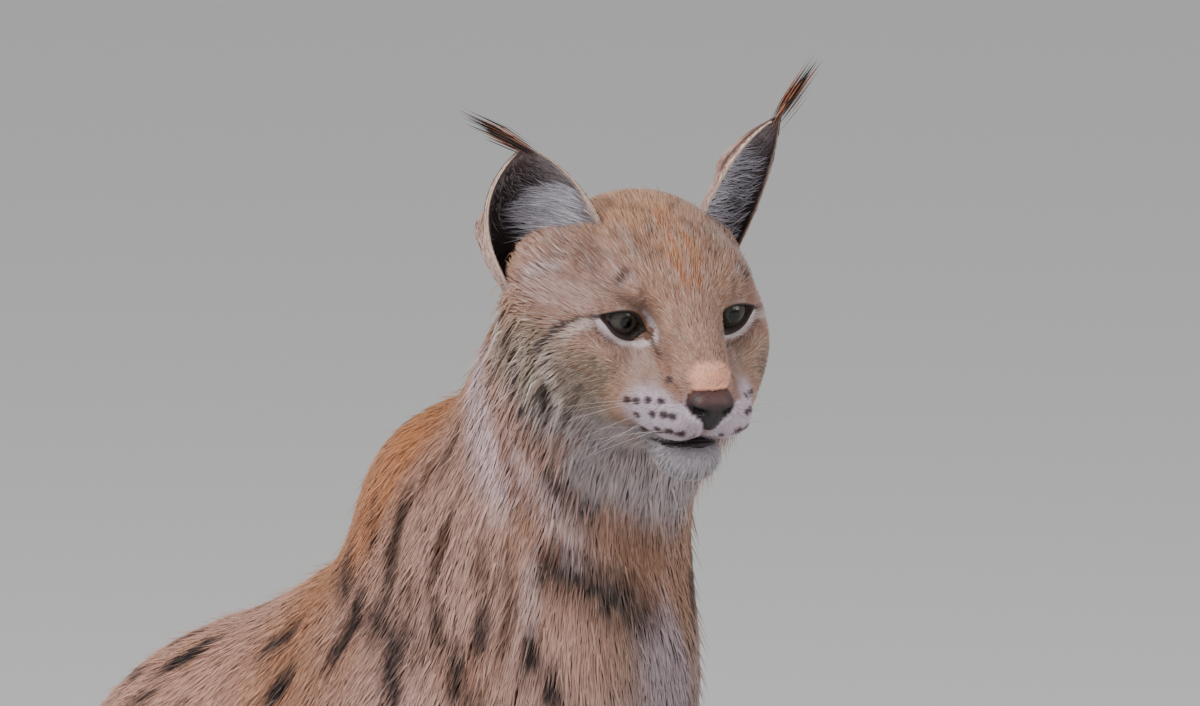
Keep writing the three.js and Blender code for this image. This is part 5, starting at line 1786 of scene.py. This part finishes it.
def earHair(side):
    ear = ears[side]
    kinds = [earStrands["back"], earStrands["lining"], earStrands["innerRim"], outerRim,
             earStrands["pale"] | ear["pale"], earStrands["dusky"]]
    columns = [np.concatenate(column) for column in zip(*[strandsOf(ear, kind) for kind in kinds])]
    foot = bezier(ear["inner"], 0.0) / 2 + bezier(ear["outer"], 0.0) / 2
    makeHeadTufts("ear_hair_" + side, *columns, [foot, ear["inner"][2]], rootShade=0.7)

    count = earTuft["count"]
    way = unit(np.array(ear["tuft"], float))
    out = unit(np.cross(way, [0.3, 1, 0.2]))
    other = np.cross(way, out)
    start = (bezier(ear["inner"], 0.985) + bezier(ear["outer"], 0.985)) / 2
    spread = rng.normal(0, 1, (count, 2))
    off = out * spread[:, :1] + other * spread[:, 1:]
    root = start + off * earTuft["spread"] - way * rng.uniform(*earTuft["rooted"], (count, 1))
    long = earTuft["long"] * rng.uniform(0.55, 1.05, count)
    lean = unit(way + off * 0.04)
    bend = root + lean * (long * 0.5)[:, None]
    down = np.array([0, 0, -1.0])
    tip = root + unit(lean + way * 0.5) * long[:, None] + down * (long * earTuft["droop"])[:, None]
    dark = rng.random(count) < earTuft["darkShare"]
    colour = np.where(dark[:, None], tone(*earTuft["dark"]), tone(*earTuft["light"]))
    colour = colour * rng.uniform(0.7, 1.15, (count, 1))
    wide = rng.uniform(*earTuft["wide"], count)
    makeHeadTufts("ear_tuft_" + side, root, bend, tip, unit(off + 1e-6), wide, colour,
                  [start - way * 8, start + way], rootShade=0.28, tipShade=1.3)


for side in ears:
    earHair(side)

# The ruff: rows of long hair along the cheek's hind edge, from under the ear to below the jaw
ruff = {
    "rows": [
        {"from": [-34, 58, -14], "through": [-28, 58, -48], "to": [-14, 22, -84], "long": 0.8},
        {"from": [-50, 56, -4], "through": [-46, 58, -46], "to": [-30, 26, -86], "long": 1.0},
    ],
    "core": [-25, 0, -25], "long": (22, 42), "wide": (1.1, 1.9), "count": 1200, "spread": 5, "sunk": 0.8,
    "unwrap": [[-40, 0, 20], [-30, 0, -100]],
}


def makeRuff(side, s):
    count = ruff["count"]
    row = rng.integers(0, 2, count)
    t = rng.random(count)
    flat = np.array([1, s, 1])
    ways = [bezier([np.array(r[k]) * flat for k in ("from", "through", "to")], t) for r in ruff["rows"]]
    core = np.array(ruff["core"], float)
    target = np.where(row[:, None] == 0, ways[0], ways[1]) + rng.normal(0, ruff["spread"], (count, 3))
    ray = unit(target - core)
    out = marched(coveredField, np.tile(fromHead(core), (count, 1)), ray @ headRotation.T, 10, 90)
    root = core + ray * (out - ruff["sunk"])[:, None]
    n = unit(slopeOf(coveredField, fromHead(root))) @ headRotation
    lean = np.stack([-0.6 + 0.5 * t, np.full(count, s * 0.24), -0.8 - 0.1 * t], 1)
    lean = unit(lean + rng.normal(0, 0.1, (count, 3)))
    share = np.where(row == 0, *[r["long"] for r in ruff["rows"]])
    long = rng.uniform(*ruff["long"], count) * share * (0.72 + 0.28 * np.sin(math.pi * t))
    bend = root + unit(lean + n * 0.45) * (long * 0.45)[:, None]
    tip = root + unit(lean + n * 0.12) * long[:, None] + np.array([0, -s * 0.06, -0.05]) * long[:, None]
    under = settled(coveredField, fromHead(root + lean * (long * 0.4)[:, None]), 3)
    colour = coatColour(under, n @ headRotation.T)
    wide = rng.uniform(*ruff["wide"], count)
    makeHeadTufts("ruff_" + side, root, bend, tip, n, wide, colour, ruff["unwrap"])


for side, s in sides.items():
    makeRuff(side, s)

# Whiskers from the dark dots of the muzzle
whiskers = {
    "long": (38, 58), "radius": 0.13, "tint": (186, 174, 170), "steps": 10, "sway": (-0.5, 0.2),
    "out": (0.8, 1.0), "rooted": 1.5, "bow": (0.28, 0.22), "taper": 0.85,
}


def makeWhiskers(side, s):
    starts = np.concatenate([row[:3] for name, row in whiskerSpots.items() if name != "bridge"])
    starts = starts * [1, s, 1]
    count = len(starts)
    long = rng.uniform(*whiskers["long"], count)
    back, out, up = [rng.uniform(*whiskers[key], count) for key in ("sway", "out", "sway")]
    lean = unit(np.stack([back, s * out, up], 1))
    t = np.linspace(0, 1, whiskers["steps"])
    ways = starts[:, None] - lean[:, None] * whiskers["rooted"]
    ways = ways + lean[:, None] * (long[:, None] * t)[..., None]
    bow = np.stack([-whiskers["bow"][0] * long, 0 * long, -whiskers["bow"][1] * long], 1)
    ways = ways + bow[:, None] * (t**2)[None, :, None]
    radii = whiskers["radius"] * (1 - whiskers["taper"] * t)[None].repeat(count, 0)
    points, faces = tubeMesh(fromHead(ways), radii, 4)
    obj = addMesh("whiskers_" + side, points, faces)
    dress(obj, painted(points, whiskers["tint"]), finishes["clawHorn"], "pale_coat")


# Claws, mostly drawn in: only their tips stand out of the toes' fur
claws = {"radius": 2.0, "long": 9, "drop": 7.5, "ahead": (8.0, 0, 0.5), "tint": (70, 62, 56), "steps": 7}


def makeClaws(side, s):
    toeTips = np.array([tip for paw in ("fore", "hind") for _, tip in pawToes(s, paw)], float)
    starts = toeTips + np.array(claws["ahead"])
    t = np.linspace(0, 1, claws["steps"])
    ways = starts[:, None] + np.stack([t * claws["long"], 0 * t, -claws["drop"] * t**1.6], 1)[None]
    radii = np.tile(claws["radius"] * (1 - 0.88 * t**1.3), (len(starts), 1))
    points, faces = tubeMesh(ways, radii, 8)
    points[:, 2] = np.maximum(points[:, 2], 0.5)
    obj = addMesh("claws_" + side, points, faces)
    dress(obj, painted(points, claws["tint"], 24, 3, 0.2), finishes["clawHorn"], "nose_leather")


for side, s in sides.items():
    makeWhiskers(side, s)
    makeClaws(side, s)
print("whiskers and claws made")

# The studio: a plain floor, a pale sky and three soft lamps
studio = {
    "sky": (0.84, 0.84, 0.85, 1), "skyStrength": 0.68, "floor": (0.7, 0.7, 0.69, 1), "floorHalf": 20,
    "aim": Vector((0.1, 0, 0.5)),
    "lamps": [  # place and size in metres, power in watts
        ("key", (-0.2, -2.6, 2.9), 1.8, 150), ("fill", (2.8, 0.2, 1.8), 2.0, 38),
        ("eyeLight", (3.1, 0.42, 1.05), 0.5, 5),
    ],
}
world = bpy.data.worlds.new("studio")
bpy.context.scene.world = world
world.use_nodes = True
sky = world.node_tree.nodes["Background"]
sky.inputs["Color"].default_value = studio["sky"]
sky.inputs["Strength"].default_value = studio["skyStrength"]
mesh = bpy.data.meshes.new("floor")
half = studio["floorHalf"]
mesh.from_pydata([(-half, -half, 0), (half, -half, 0), (half, half, 0), (-half, half, 0)], [], [(0, 1, 2, 3)])
floor = newObject("floor", mesh)
floorPale, _, shader = newMaterial("floorPale")
shader.inputs["Base Color"].default_value = studio["floor"]
shader.inputs["Roughness"].default_value = 0.9
floor.data.materials.append(floorPale)
for name, spot, size, power in studio["lamps"]:
    lamp = bpy.data.lights.new(name, "AREA")
    lamp.size = size
    lamp.energy = power
    turnedFrom(newObject(name, lamp), spot, Vector(spot) - studio["aim"])
